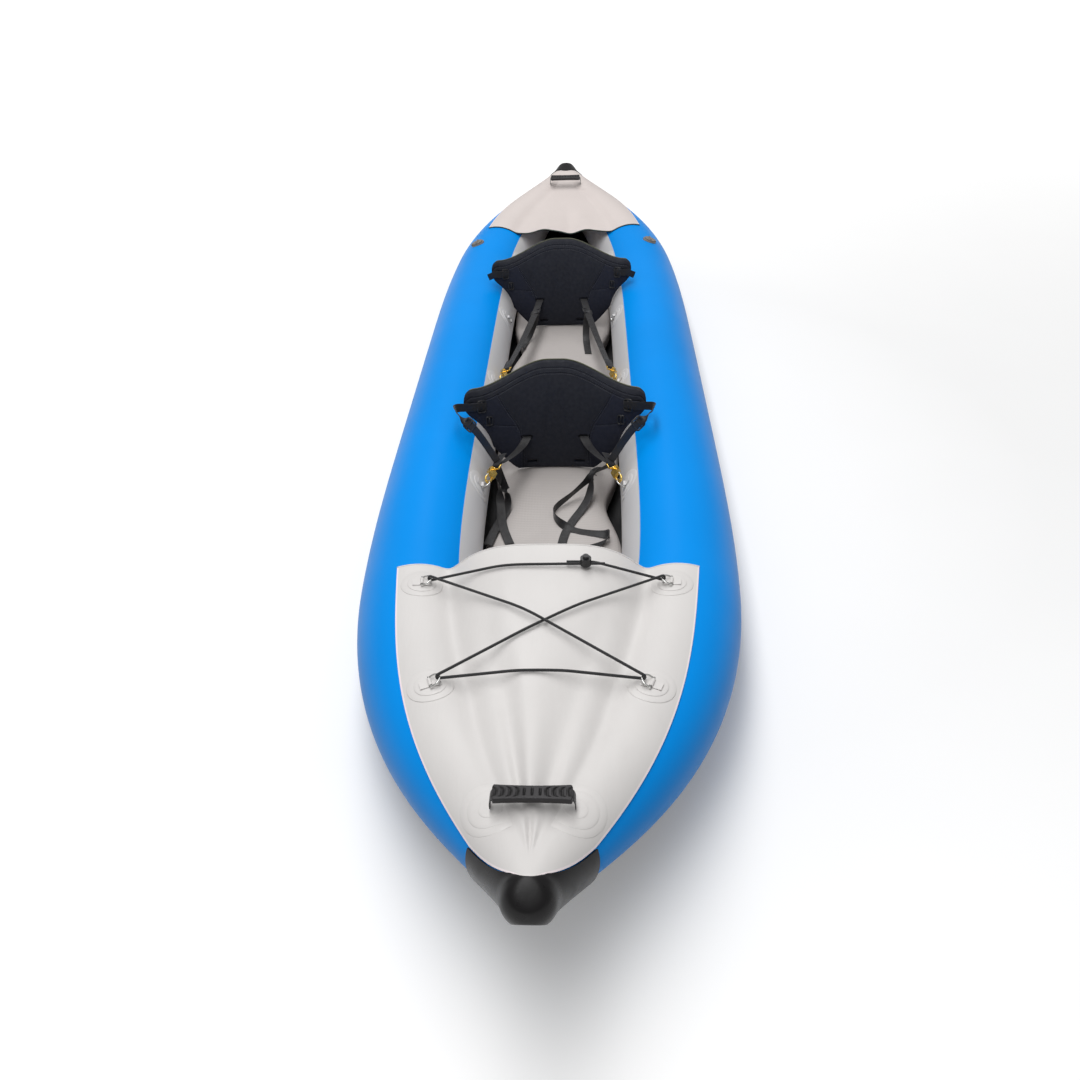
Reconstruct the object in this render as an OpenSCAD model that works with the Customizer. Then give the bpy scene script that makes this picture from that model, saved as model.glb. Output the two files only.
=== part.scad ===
// Inflatable tandem kayak: side tubes, bottom, floor, decks, strapped-in backrests and their fittings.
// Millimetres. The bow points to -Y and the stern to +Y, +Z is up. The origin is amidships on the ground.
// Left and right are the -X and +X sides. Each left piece is the mirror of the right one.

/* [Hull] */
// Overall length over both nose caps
hull_length = 4100; // [3900:20:4300]
// Overall beam over both side tubes
hull_beam = 950; // [920:5:990]
// Diameter of a side tube amidships
tube_d = 286; // [276:2:296]
// Diameter of a side tube at its nose
nose_d = 86; // [76:2:96]
// Height of the noses over the bottom amidships
nose_rise = 285; // [240:5:310]
// Exponent that keeps the tubes parallel towards the ends
plan_power = 5.15; // [4.8:0.05:5.6]
// Exponent that draws the ends in
plan_taper = 1.52; // [1.4:0.02:1.7]
// Share of the half length at which the tubes start to taper
taper_start = 0.54; // [0.48:0.01:0.58]
// Share of the half length at which the noses start to rise
rise_start = 0.4; // [0.36:0.01:0.46]
// Exponent of that rise
rise_power = 2.64; // [2.4:0.02:2.9]

/* [Bonded fabric] */
// Thickness of the inner wall panels
panel_t = 1.2; // [0.8:0.1:1.6]
// Angle round the tube at which an inner panel starts, from level outwards
panel_top = 135; // [131:1:139]
// Angle round the tube at which an inner panel ends
panel_end = 240; // [234:1:244]
// Share of the half length that the inner panels cover
panel_reach = 0.86; // [0.78:0.01:0.88]
// Thickness of the bottom skin
skin_t = 1.5; // [1:0.1:2.5]
// Thickness of the deck fabric
deck_t = 1.5; // [1:0.1:2.5]
// Glue line between two bonded layers
bond_gap = 0.4; // [0.3:0.05:0.6]
// Glue line under the decks
deck_gap = 1.6; // [1.4:0.1:1.8]

/* [Floor] */
// Width of the inflated floor mat
mat_w = 380; // [340:5:390]
// Thickness of the inflated floor mat
mat_h = 90; // [75:1:100]
// Distance of the mat's ends from the ends of the hull
mat_end = 570; // [500:10:700]
// How far each side of the mat draws in beside a seat
mat_waist = 42; // [20:1:50]
// Distance of a waist in front of its seat
waist_ahead = 180; // [120:5:260]
// Length of a waist
waist_length = 260; // [180:10:320]

/* [Decks] */
// Distance of the bow deck's free edge from the end of the bow
bow_deck_l = 923; // [890:1:970]
// Distance of the stern deck's free edge from the end of the stern
stern_deck_l = 760; // [700:1:810]
// Rise of the bow deck's free edge over the place where it leaves the tubes
bow_hump = 85; // [60:1:95]
// Rise of the stern deck's free edge over the place where it leaves the tubes
stern_hump = 8; // [4:1:20]
// Rise of both decks at their tips
tip_hump = 2; // [1:0.5:4]
// Height of the folds that run out from the deck tips
fold_h = 5; // [2:0.5:7]
// Angle round the tube of a deck's bonded edge, at 0.7 of the half length
deck_edge = 70; // [66:1:74]
// Angle round the tube at which a deck leaves it
deck_leave = 125; // [118:1:128]

/* [Nose caps] */
// Distance of a cap's arm ends from the end of the hull
cap_l = 165; // [140:5:200]
// Distance of a deck's tip from the end of the hull
deck_tip_l = 78; // [70:1:95]
// Wall of a rubber cap
cap_t = 3.5; // [2.5:0.1:4.5]
// Clearance between a cap and the tubes in it
cap_gap = 1.9; // [1.6:0.1:2.2]

/* [Valves] */
// Distance of the tube valves from the end of the stern
valve_l = 925; // [880:5:970]
// Angle of the tube valves round the tube
valve_angle = 70; // [62:1:78]
// Distance of the floor valve from amidships
floor_valve_y = 1000; // [960:5:1060]
// Flange diameter
flange_d = 54; // [50:1:58]
// Barrel diameter
barrel_d = 40; // [36:1:42]
// Bore of the valve mouth
mouth_d = 30; // [26:1:32]
// Depth of the barrel below the flange
barrel_h = 32; // [30:1:36]
// Stem rod diameter
stem_d = 5; // [4:0.5:6]
// Stem travel when it is pushed in
stem_travel = 6; // [4:0.5:7]
// Radial clearance of a running stem, bolt or pivot
run_gap = 0.08; // [0.05:0.01:0.1]

/* [Rings] */
// Wire diameter of a D-ring
ring_wire = 4; // [3.5:0.1:4.5]
// Inside width of a D-ring
ring_inside = 24; // [22:1:27]
// Straight leg of a D-ring
ring_leg = 8; // [7:0.5:10]
// Diameter of a ring's outer patch
patch_d = 95; // [85:1:105]
// Diameter of a ring's upper patch
patch_inner_d = 64; // [56:1:70]
// Thickness of one patch layer
patch_t = 1.2; // [0.8:0.1:1.6]
// Distances of the two deck ring pairs from the end of the bow
deck_ring_front_l = 500; // [450:5:550]
deck_ring_rear_l = 845; // [820:5:860]
// Angles of those pairs round the tube
deck_ring_front_a = 90; // [86:1:96]
deck_ring_rear_a = 98; // [92:1:104]
// Lift of the deck rings off their patches
deck_ring_tilt = 25; // [20:1:32]
// Places of the four seat ring pairs, from bow to stern
seat_ring_a_y = -635; // [-670:5:-600]
seat_ring_b_y = -8; // [-40:2:20]
seat_ring_c_y = 530; // [500:5:560]
seat_ring_d_y = 1110; // [1080:5:1130]
// Angle of the seat rings round the tube
seat_ring_a = 155; // [150:1:160]

/* [Bungee and cord lock] */
// Bungee cord diameter
cord_d = 6; // [5:0.5:7]
// Cord lock diameter
lock_d = 24; // [22:1:27]
// Cord lock height
lock_h = 18; // [16:1:20]
// Cord lock place across the deck
lock_x = 88; // [70:2:100]
// Button diameter
button_d = 13; // [11:0.5:14]
// Button travel
button_travel = 4; // [3:0.5:5]

/* [Handles] */
// Length, width and thickness of a grip
grip_l = 132; // [120:1:140]
grip_w = 34; // [30:1:38]
grip_t = 12; // [10:0.5:14]
// How much a grip is waisted on each side
grip_waist = 2.5; // [1:0.5:4]
// Height of the grip's middle over the deck
handle_rise = 33; // [31:1:36]
// Distances of the handles from the ends of the hull
bow_handle_l = 184; // [174:2:200]
stern_handle_l = 240; // [220:5:250]
// Diameter of a handle's anchor patch
anchor_d = 42; // [38:1:44]

/* [Seats] */
// Place of the front and the rear backrest's foot
front_seat_y = -365; // [-385:5:-345]
rear_seat_y = 700; // [670:5:730]
// Height of a backrest along its back
seat_h = 322; // [312:1:332]
// Width over the wings
seat_w = 524; // [505:1:530]
// Width of the foot
seat_foot_w = 224; // [214:1:234]
// Heights of a wing's lower and upper corner
wing_low = 185; // [180:1:190]
wing_high = 250; // [246:1:256]
// Width of the level top of the arch between the wings
arch_flat_w = 44; // [36:1:52]
// Height of the wing buckles
wing_buckle_h = 202; // [198:1:206]
// How far the wings wrap forwards
wing_wrap = 80; // [70:1:90]
// Backward lean at rest
seat_lean = 15; // [12:1:18]
// Pad thickness at its edges, and its extra crown
pad_edge = 8; // [7:0.5:10]
pad_crown = 22; // [18:1:24]
// Distance of the stitched channel below the top edge, and its depth
channel_at = 34; // [31:1:38]
channel_depth = 4; // [2:0.5:6]
// Thickness of the back panel
back_t = 2.5; // [2:0.1:3]

/* [Straps and buckles] */
// Webbing width and thickness
strap_w = 25; // [22:1:26]
strap_t = 1.6; // [1.2:0.1:1.8]
// Height and half spacing of the strap slots in a backrest
slot_h = 100; // [92:1:108]
slot_x = 85; // [78:1:92]
// Buckle frame thickness
buckle_t = 5; // [4:0.5:6]
// Bar width of a buckle frame
buckle_bar = 4.5; // [4:0.1:5]

/* [Snap hooks] */
// Wire diameter of the hook
hook_wire = 6; // [5.5:0.1:6.5]
// Radius of the jaw along the wire's middle
jaw_r = 10; // [9.5:0.1:11]
// Thumb bolt diameter
bolt_d = 4.6; // [4.2:0.1:4.8]
// Thumb bolt travel
bolt_travel = 9; // [7:0.5:9.5]
// Wire diameter of the swivel eye
eye_wire = 4; // [3.5:0.1:4.5]

/* [Hidden] */

// Smoothness
$fn = 48;
tube_sides = 32;
side_step = 360 / tube_sides;
du = 0.002;
fit_gap = 0.3;
seam_gap = 0.2;
big = 400;

// Places along the hull, from the distances to its ends
half_length = hull_length / 2;
mat_reach = half_length - mat_end;
bow_deck_y = half_length - bow_deck_l;
stern_deck_y = half_length - stern_deck_l;
cap_y = half_length - cap_l;
deck_tip_y = half_length - deck_tip_l;
valve_y = half_length - valve_l;
deck_ring_front_y = half_length - deck_ring_front_l;
deck_ring_rear_y = half_length - deck_ring_rear_l;
bow_handle_y = half_length - bow_handle_l;
stern_handle_y = half_length - stern_handle_l;

// Hull lines. The skin's lowest facets lie on the ground.
nose_r = nose_d / 2 + cap_gap + cap_t;
y_end = half_length - nose_r;
spread = (hull_beam - tube_d) / 2;
ground_lift = (tube_d / 2 + bond_gap + skin_t) * cos(side_step / 2) - tube_d / 2;
cap_u = cap_y / y_end;
tip_u = deck_tip_y / y_end;
bow_u = bow_deck_y / y_end;
stern_u = stern_deck_y / y_end;
deck_off = deck_gap + deck_t;
panel_off = bond_gap + panel_t;

function lerp(a, b, t) = a + (b - a) * t;
function clamp01(t) = min(1, max(0, t));
function unit(v) = v / norm(v);
function flip(p) = [-p.x, p.y, p.z];
function flat(lists) = [for (l = lists) each l];

// A tube's radius, axis point, direction and frame at the station u, which runs from -1 (bow) to 1 (stern)
function tube_r(u) =
  lerp(tube_d, nose_d, pow(clamp01((abs(u) - taper_start) / (1 - taper_start)), 2)) / 2;
function rise(u) = nose_rise * pow(clamp01((abs(u) - rise_start) / (1 - rise_start)), rise_power);
function axis_pt(u) = [
  spread * pow(1 - pow(min(1, abs(u)), plan_power), plan_taper),
  u * y_end,
  ground_lift + tube_r(u) + rise(u)
];
function tangent(u) = unit(axis_pt(min(1, u + du)) - axis_pt(max(-1, u - du)));
function across(u) = let (t = tangent(u)) unit([t.y, -t.x, 0]);
function upward(u) = cross(across(u), tangent(u));

// Point on the right tube: angle a from level outwards, up over the top, off the wall by off
function wall(u, a, off = 0) =
  axis_pt(u) + (tube_r(u) + off) * (cos(a) * across(u) + sin(a) * upward(u));
function seamed(p) = [max(seam_gap, p.x), p.y, p.z];
function facet_angle(k) = (k + 0.5) * side_step;

// Stations: shared by the tubes and everything bonded to them
end_steps = 7;
arm_steps = 6;
nose_steps = 2;
function end_stations(from) = concat(
  [for (i = [0:end_steps - 1]) lerp(from, cap_u, i / end_steps)],
  [for (i = [0:arm_steps - 1]) lerp(cap_u, tip_u, i / arm_steps)],
  [for (i = [0:nose_steps]) lerp(tip_u, 1, i / nose_steps)]
);
patch_room = 0.028;
function beside(y) = [y / y_end - patch_room, y / y_end + patch_room];
mid_stations = concat(
  [-0.48, -0.4],
  beside(seat_ring_a_y),
  [-0.16, seat_ring_b_y / y_end, 0.13, seat_ring_c_y / y_end, 0.36, 0.45],
  beside(seat_ring_d_y)
);
bow_stations = end_stations(bow_u);
stern_stations = end_stations(stern_u);
station_gap = 0.001;
function in_order(v) = len(v) < 2 ? v : let (p = v[floor(len(v) / 2)]) concat(
  in_order([for (x = v) if (x < p - station_gap) x]),
  [p],
  in_order([for (x = v) if (x > p + station_gap) x])
);
stations = in_order(concat([for (u = bow_stations) -u], mid_stations, stern_stations));

// Closed body through a list of rings with as many points each
module loft(rings) {
  m = len(rings);
  n = len(rings[0]);
  sides = [for (i = [0:m - 2], k = [0:n - 1])
    let (a = i * n + k, b = i * n + (k + 1) % n)
    each [[a, b, b + n], [a, b + n, a + n]]];
  near = [for (k = [n - 1:-1:0]) k];
  far = [for (k = [0:n - 1]) (m - 1) * n + k];
  polyhedron(points = flat(rings), faces = concat(sides, [near, far]));
}

// Closed sheet between an outer and an inner grid of points. A capped sheet is a bowl: its last rows are closed.
// In a mirrored sheet the second half of each row is split like the first half seen in a mirror.
module sheet(outer, inner, capped = false, mirrored = false) {
  m = len(outer);
  n = len(outer[0]);
  h = m * n;
  function quad(a, b, c, d) = [[a, b, c], [a, c, d]];
  function split(k, a, b, c, d) = mirrored && k >= (n - 1) / 2 ? quad(b, c, d, a) : quad(a, b, c, d);
  faces = concat(
    [for (i = [0:m - 2], k = [0:n - 2]) let (a = i * n + k) each split(k, a, a + 1, a + n + 1, a + n)],
    [for (i = [0:m - 2], k = [0:n - 2]) let (a = h + i * n + k) each split(k, a, a + n, a + n + 1, a + 1)],
    [for (i = [0:m - 2]) let (a = i * n) each quad(a, a + n, a + n + h, a + h)],
    [for (i = [0:m - 2]) let (a = i * n + n - 1) each quad(a + h, a + n + h, a + n, a)],
    [for (k = [0:n - 2]) each quad(k + h, k + h + 1, k + 1, k)],
    capped
      ? [[for (k = [0:n - 1]) (m - 1) * n + k],
         [for (k = [n - 1:-1:0]) h + (m - 1) * n + k],
         [h + (m - 1) * n, (m - 1) * n, h - 1, 2 * h - 1]]
      : [for (k = [0:n - 2]) let (a = (m - 1) * n + k) each quad(a, a + 1, a + h + 1, a + h)]
  );
  polyhedron(points = concat(flat(outer), flat(inner)), faces = faces);
}

// Smooth curve through points, with steps spans between each two
function catmull(a, b, c, d, t) =
  0.5 * (2 * b + (c - a) * t + (2 * a - 5 * b + 4 * c - d) * t * t + (3 * b - a - 3 * c + d) * t * t * t);
function curve(p, steps) = let (last = len(p) - 1) concat(
  [for (i = [0:last - 1], s = [0:steps - 1])
    catmull(p[max(0, i - 1)], p[i], p[i + 1], p[min(last, i + 2)], s / steps)],
  [p[last]]
);
function directions(p) = let (last = len(p) - 1)
  [for (i = [0:last]) unit(p[min(last, i + 1)] - p[max(0, i - 1)])];

// Flat webbing along a path. Its width lies along side_a at the start and side_b at the end.
module ribbon(path, side_a, side_b) {
  dirs = directions(path);
  last = len(path) - 1;
  loft([for (i = [0:last])
    let (
      t = dirs[i],
      raw = lerp(side_a, side_b, i / last),
      s = unit(raw - (raw * t) * t) * strap_w / 2,
      n = unit(cross(s, t)) * strap_t / 2
    )
    [path[i] + s + n, path[i] - s + n, path[i] - s - n, path[i] + s - n]]);
}

// Round cord along a path, with frames carried along it
function carried(dirs, from, i = 0) = i == len(dirs) ? [] :
  let (n = unit(from - (from * dirs[i]) * dirs[i])) concat([n], carried(dirs, n, i + 1));
module cord(path, d, sides = 8) {
  dirs = directions(path);
  normals = carried(dirs, [0.1, 0.2, 1]);
  loft([for (i = [0:len(path) - 1])
    let (a = normals[i], b = cross(a, dirs[i]))
    [for (k = [0:sides - 1]) path[i] + d / 2 * (cos(k * 360 / sides) * a + sin(k * 360 / sides) * b)]]);
}

// Local frame on the right tube's wall: X along the hull, Y round the tube, Z out of the wall
function wall_x(u, a, off) = unit(wall(u + du, a, off) - wall(u - du, a, off));
function wall_z(u, a, off) = unit(cross(wall_x(u, a, off), wall(u, a + 1, off) - wall(u, a - 1, off)));
module at_wall(u, a, off = 0) {
  x = wall_x(u, a, off);
  z = wall_z(u, a, off);
  y = cross(z, x);
  p = wall(u, a, off);
  multmatrix([[x.x, y.x, z.x, p.x], [x.y, y.y, z.y, p.y], [x.z, y.z, z.z, p.z], [0, 0, 0, 1]]) children();
}
module both_sides() {
  children();
  mirror([1, 0, 0]) children();
}
module on_side(left) {
  mirror([left ? 1 : 0, 0, 0]) children();
}

// Side tubes, mitred together on the middle plane
module side_tube() {
  color("dodgerblue") difference() {
    loft([for (u = stations) [for (k = [0:tube_sides - 1]) seamed(wall(u, facet_angle(k)))]]);
    at_wall(valve_y / y_end, valve_angle) valve_pocket();
  }
}
module left_tube() on_side(true) side_tube();
module right_tube() on_side(false) side_tube();

// Grey panels bonded to the inner walls
panel_angles = concat(
  [panel_top],
  [for (k = [0:tube_sides - 1]) let (a = facet_angle(k)) if (a > panel_top + 1 && a < panel_end - 1) a],
  [panel_end]
);
panel_stations = [for (u = stations) if (abs(u) < panel_reach) u];
module inner_panel() {
  color("silver") sheet(
    [for (u = panel_stations) [for (a = panel_angles) wall(u, a, panel_off)]],
    [for (u = panel_stations) [for (a = panel_angles) wall(u, a, bond_gap)]]
  );
}
module left_inner_panel() on_side(true) inner_panel();
module right_inner_panel() on_side(false) inner_panel();

// Bottom skin from under one tube straight across to the other
skin_first = 22;
skin_last = 26;
skin_reach = cap_u - 0.003;
skin_stations = concat([-skin_reach], [for (u = stations) if (abs(u) < skin_reach - 0.01) u], [skin_reach]);
function skin_row(u, off) = concat(
  [for (k = [skin_last:-1:skin_first]) flip(wall(u, facet_angle(k), off))],
  [for (k = [skin_first:skin_last]) wall(u, facet_angle(k), off)]
);
module bottom_skin() {
  color("#222222") sheet(
    [for (u = skin_stations) skin_row(u, bond_gap + skin_t)],
    [for (u = skin_stations) skin_row(u, bond_gap)]
  );
}

// Floor mat: an inflated slab with round edges that lies on the bottom skin
mat_sides = 20;
mat_square = 4;
mat_steps = 24;
mat_stations = [for (i = [0:mat_steps]) lerp(-mat_reach, mat_reach, i / mat_steps) / y_end];
function skin_top(u) = wall(u, facet_angle(skin_first), bond_gap).z;
mat_lift = 1;
function mat_top(u) = skin_top(u) + mat_lift + mat_h;
function waist(y, seat_y) = mat_waist * exp(-pow((y - seat_y + waist_ahead) / waist_length * 2, 2));
function mat_room(u) =
  let (r = tube_r(u))
  axis_pt(u).x - sqrt(r * r - pow(r - mat_fill * mat_h, 2)) / across(u).x - panel_off - mat_clear;
mat_fill = 0.85;
mat_clear = 8;
function mat_half(u) =
  min(mat_w / 2, mat_room(u)) - waist(u * y_end, front_seat_y) - waist(u * y_end, rear_seat_y);
function squared(v) = sign(v) * pow(abs(v), 2 / mat_square);
module floor_mat() {
  color("lightgray") difference() {
    loft([for (u = mat_stations) [for (k = [0:mat_sides - 1])
      let (a = (k + 0.5) * 360 / mat_sides)
      [mat_half(u) * squared(cos(a)), u * y_end, mat_top(u) + mat_h / 2 * (squared(sin(a)) - 1)]]]);
    at_floor() valve_pocket();
  }
}

// Decks, built for the stern: bonded to the tubes at both sides, free in the middle
on_steps = 6;
free_steps = 12;
edge_ref = 0.7;
edge_slope = 84;
edge_bend = 344;
bow_leave = 0.8;
stern_leave = 0.92;
hump_power = 1.05;
hump_fullness = 2.4;
fold_count = 2.5;
function edge_line(u) = deck_edge - edge_slope * (u - edge_ref) - edge_bend * pow(u - edge_ref, 2);
function tip_share(u) = clamp01((u - cap_u) / (tip_u - cap_u));
function edge_angle(u) = u < cap_u ? edge_line(u) : acos(cos(edge_line(cap_u)) * sqrt(1 - pow(tip_share(u), 2)));
function leave_angle(u, from) = lerp(deck_leave, 90.5, clamp01((u - from) / (tip_u - from)));
function deck_on(u, j, off, from) = wall(u, lerp(edge_angle(u), leave_angle(u, from), j / on_steps), off);
function deck_run(u, edge_u) = clamp01((u - edge_u) / (tip_u - edge_u));
function deck_lift(u, s, edge_u, hump) =
  let (t = deck_run(u, edge_u))
  lerp(hump, tip_hump, pow(t, hump_power)) * (1 - pow(abs(s), hump_fullness))
  + fold_h * sin(180 * t) * sin(180 * fold_count * s + 90) * (1 - s * s);
function deck_free(u, v, off, edge_u, hump, from) =
  let (p = wall(u, leave_angle(u, from), off))
  [p.x * (1 - 2 * v), p.y, p.z + deck_lift(u, 1 - 2 * v, edge_u, hump)];
function deck_row(u, off, edge_u, hump, from) = concat(
  [for (j = [0:on_steps]) deck_on(u, j, off, from)],
  [for (j = [1:free_steps - 1]) deck_free(u, j / free_steps, off, edge_u, hump, from)],
  [for (j = [on_steps:-1:0]) flip(deck_on(u, j, off, from))]
);
module deck(edge_u, hump, from) {
  rows = [for (u = end_stations(edge_u)) if (u <= tip_u + du / 10) u];
  sheet(
    [for (u = rows) deck_row(u, deck_off, edge_u, hump, from)],
    [for (u = rows) deck_row(u, deck_gap, edge_u, hump, from)],
    mirrored = true
  );
}
module bow_deck() color("gainsboro") mirror([0, 1, 0]) deck(bow_u, bow_hump, bow_leave);
module stern_deck() color("gainsboro") deck(stern_u, stern_hump, stern_leave);

// Rubber nose caps, built for the stern: open over the deck tip, closed round the nose
cap_half = 9;
dome_steps = 4;
dome_end = 78;
dome_hollow = 6;
edge_room = 2;
function cap_edge(u) = u < tip_u ? edge_angle(u) - edge_room : 90;
function cap_row(u, off) = let (
  right = [for (k = [0:cap_half - 1]) seamed(wall(u, lerp(cap_edge(u), -90, k / (cap_half - 1)), off))]
) concat([for (p = right) flip(p)], [for (k = [cap_half - 1:-1:0]) right[k]]);
function dome_row(off, reach, a) = let (
  middle = axis_pt(1) + tangent(1) * reach * sin(a),
  right = [for (k = [0:cap_half - 1]) let (b = lerp(90, -90, k / (cap_half - 1)))
    seamed(middle + (nose_d / 2 + off) * cos(a) * (cos(b) * across(1) + sin(b) * upward(1)))]
) concat([for (p = right) flip(p)], [for (k = [cap_half - 1:-1:0]) right[k]]);
function cap_rows(off, reach) = concat(
  [for (u = end_stations(stern_u)) if (u >= cap_u - du / 10) cap_row(u, off)],
  [for (i = [1:dome_steps]) dome_row(off, reach, dome_end * i / dome_steps)]
);
module nose_cap() {
  color("#1c1c1e") sheet(cap_rows(cap_gap + cap_t, nose_r), cap_rows(cap_gap, dome_hollow), capped = true, mirrored = true);
}
module bow_cap() mirror([0, 1, 0]) nose_cap();
module stern_cap() nose_cap();

// D-rings: the bar lies on X at the origin, and the bow of the ring points to +Y
ring_r = ring_inside / 2 + ring_wire / 2;
ring_bar_d = ring_wire + 0.4;
bar_end = 1;
module d_ring() {
  rotate([0, 90, 0]) cylinder(d = ring_bar_d, h = 2 * ring_r + ring_wire + 2 * bar_end, center = true);
  for (x = [-ring_r, ring_r]) translate([x, 0, 0]) rotate([-90, 0, 0]) cylinder(d = ring_wire, h = ring_leg);
  translate([0, ring_leg, 0]) rotate_extrude(angle = 180) translate([ring_r, 0]) circle(d = ring_wire);
}

// Ring patches: two round layers and the webbing loop that holds the ring's bar
loop_t = 1.6;
loop_w = ring_inside - 3;
loop_skirt = 1.5;
patch_gap = 0.8;
bar_lift = 2 * patch_t + loop_t + ring_bar_d / 2 + run_gap;
module disc_layer(d, r, low, t) {
  intersection() {
    cylinder(d = d, h = big / 10, center = true);
    translate([0, 0, -r]) rotate([0, 90, 0]) difference() {
      cylinder(r = r + low + t, h = big, center = true, $fn = 180);
      cylinder(r = r + low, h = 2 * big, center = true, $fn = 180);
    }
  }
}
module ring_patch(r, low) {
  loop_r = ring_bar_d / 2 + run_gap + loop_t;
  difference() {
    union() {
      disc_layer(patch_d, r, low, patch_t);
      disc_layer(patch_inner_d, r, low + patch_t, patch_t);
      translate([-loop_w / 2, -loop_r - loop_skirt, patch_t]) cube([loop_w, 2 * (loop_r + loop_skirt), bar_lift - patch_t]);
      translate([0, 0, bar_lift]) rotate([0, 90, 0]) cylinder(r = loop_r, h = loop_w, center = true);
    }
    translate([0, 0, bar_lift]) rotate([0, 90, 0]) cylinder(d = ring_bar_d + 2 * run_gap, h = big, center = true);
  }
}

// The four deck rings
deck_ring_u = [-deck_ring_front_y / y_end, -deck_ring_rear_y / y_end];
deck_ring_a = [deck_ring_front_a, deck_ring_rear_a];
module deck_ring_patches() {
  color("whitesmoke") both_sides() for (i = [0, 1])
    at_wall(deck_ring_u[i], deck_ring_a[i], deck_off) ring_patch(tube_r(deck_ring_u[i]) + deck_off, patch_gap);
}
module deck_rings() {
  color("silver") both_sides() for (i = [0, 1]) at_wall(deck_ring_u[i], deck_ring_a[i], deck_off)
    translate([0, 0, bar_lift]) rotate([deck_ring_tilt, 0, 0]) d_ring();
}

// The eight seat rings: hooked ones stand out of the wall, free ones hang down on it
seat_ring_ys = [seat_ring_a_y, seat_ring_b_y, seat_ring_c_y, seat_ring_d_y];
free_pair = 2;
module at_seat_ring(i) at_wall(seat_ring_ys[i] / y_end, seat_ring_a, panel_off) children();
module seat_ring_patches() {
  color("silver") both_sides() for (i = [0:3])
    at_seat_ring(i) ring_patch(tube_r(seat_ring_ys[i] / y_end) + panel_off, patch_gap);
}
module hooked_rings() {
  color("gainsboro") both_sides() for (i = [0:3]) if (i != free_pair)
    at_seat_ring(i) translate([0, 0, bar_lift]) rotate([90, 0, 0]) d_ring();
}
module free_ring() color("gainsboro") at_seat_ring(free_pair) translate([0, 0, bar_lift]) d_ring();
module left_free_ring() on_side(true) free_ring();
module right_free_ring() on_side(false) free_ring();

// Bungee: a figure of eight through the deck rings, with both ends in the cord lock
cord_lift = cord_d / 2 + 3;
turn_r = ring_wire / 2 + cord_d / 2 + fit_gap + 0.2;
run_steps = 9;
cross_hop = cord_d + 1;
lock_pitch = cord_d / 2 + 0.6;
lock_end = 30;
function ring_mid(i) = let (u = deck_ring_u[i], a = deck_ring_a[i], z = wall_z(u, a, deck_off))
  wall(u, a, deck_off) + z * bar_lift + ring_out(i) * (ring_leg + ring_r);
function ring_out(i) = let (
  u = deck_ring_u[i], a = deck_ring_a[i], z = wall_z(u, a, deck_off), y = cross(z, wall_x(u, a, deck_off))
) y * cos(deck_ring_tilt) + z * sin(deck_ring_tilt);
function ring_up(i) = let (u = deck_ring_u[i], a = deck_ring_a[i]) cross(wall_x(u, a, deck_off), ring_out(i));
function hook_turn(i, from_below) = [for (a = from_below ? [-90:45:90] : [90:-45:-90])
  ring_mid(i) + turn_r * (sin(a) * ring_up(i) - cos(a) * ring_out(i))];
function flip_all(p) = [for (q = p) flip(q)];
// Deck height under a point of the free span, for the bow deck
function deck_z(x, y) = let (
  u = abs(y) / y_end, p = wall(u, leave_angle(u, bow_leave), deck_off), c = axis_pt(u), r = tube_r(u) + deck_off
) abs(x) < p.x ? p.z + deck_lift(u, x / p.x, bow_u, bow_hump)
  : c.z + sqrt(max(0, r * r - pow(abs(x) - c.x, 2)));
function over_deck(p, extra) = [p.x, p.y, max(p.z, deck_z(p.x, p.y) + cord_lift + extra)];
function run(a, b, hop = 0) = [for (i = [1:run_steps - 1]) let (t = i / run_steps)
  over_deck(lerp(a, b, t), hop * exp(-pow((t - 0.5) * 7, 2)))];
front_turn = hook_turn(0, false);
rear_turn = hook_turn(1, true);
lock_at = let (p = lerp(rear_turn[0], flip(rear_turn[0]), 0.5)) [lock_x, p.y, deck_z(lock_x, p.y) + cord_lift + 4];
function run_to_lock(a, side) = let (b = lock_at + [0, side * lock_pitch, 0]) concat(
  [for (i = [1:run_steps - 1]) let (t = i / run_steps) if (abs(lerp(a, b, t).x - b.x) > lock_d) over_deck(lerp(a, b, t), 2)],
  [b + [sign(a.x - b.x) * lock_d * 0.7, 0, 0], b - [sign(a.x - b.x) * (lock_d / 2 + lock_end), 0, 0]]
);
right_rear = rear_turn;
left_rear = flip_all(rear_turn);
left_front = flip_all(front_turn);
function reversed(p) = [for (i = [len(p) - 1:-1:0]) p[i]];
bungee_path = concat(
  reversed(run_to_lock(right_rear[0], 1)),
  right_rear,
  run(right_rear[4], left_front[0]),
  left_front,
  run(left_front[4], front_turn[4]),
  reversed(front_turn),
  run(front_turn[0], left_rear[4], cross_hop),
  reversed(left_rear),
  run_to_lock(left_rear[0], -1)
);
module bungee_cord() color("#18181a") cord(bungee_path, cord_d);

// Cord lock: a round body with two cord holes, and a sprung button in its top
lock_floor = cord_d / 2 + 2;
module at_lock() translate(lock_at) children();
module cord_lock_body() {
  color("#202022") at_lock() difference() {
    translate([0, 0, -lock_floor]) cylinder(d = lock_d, h = lock_h);
    for (side = [-1, 1]) translate([0, side * lock_pitch, 0]) rotate([0, 90, 0])
      cylinder(d = cord_d + 0.6, h = big, center = true);
    translate([0, 0, cord_d / 2 + 1.5]) cylinder(d = button_d + 2 * run_gap, h = big);
  }
}
module cord_lock_button() {
  color("#2c2c2e") at_lock() translate([0, 0, cord_d / 2 + 1.5 + button_travel + fit_gap])
    cylinder(d = button_d, h = lock_h - lock_floor - cord_d / 2 - 1.5 + fit_gap + button_travel / 2);
}

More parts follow.
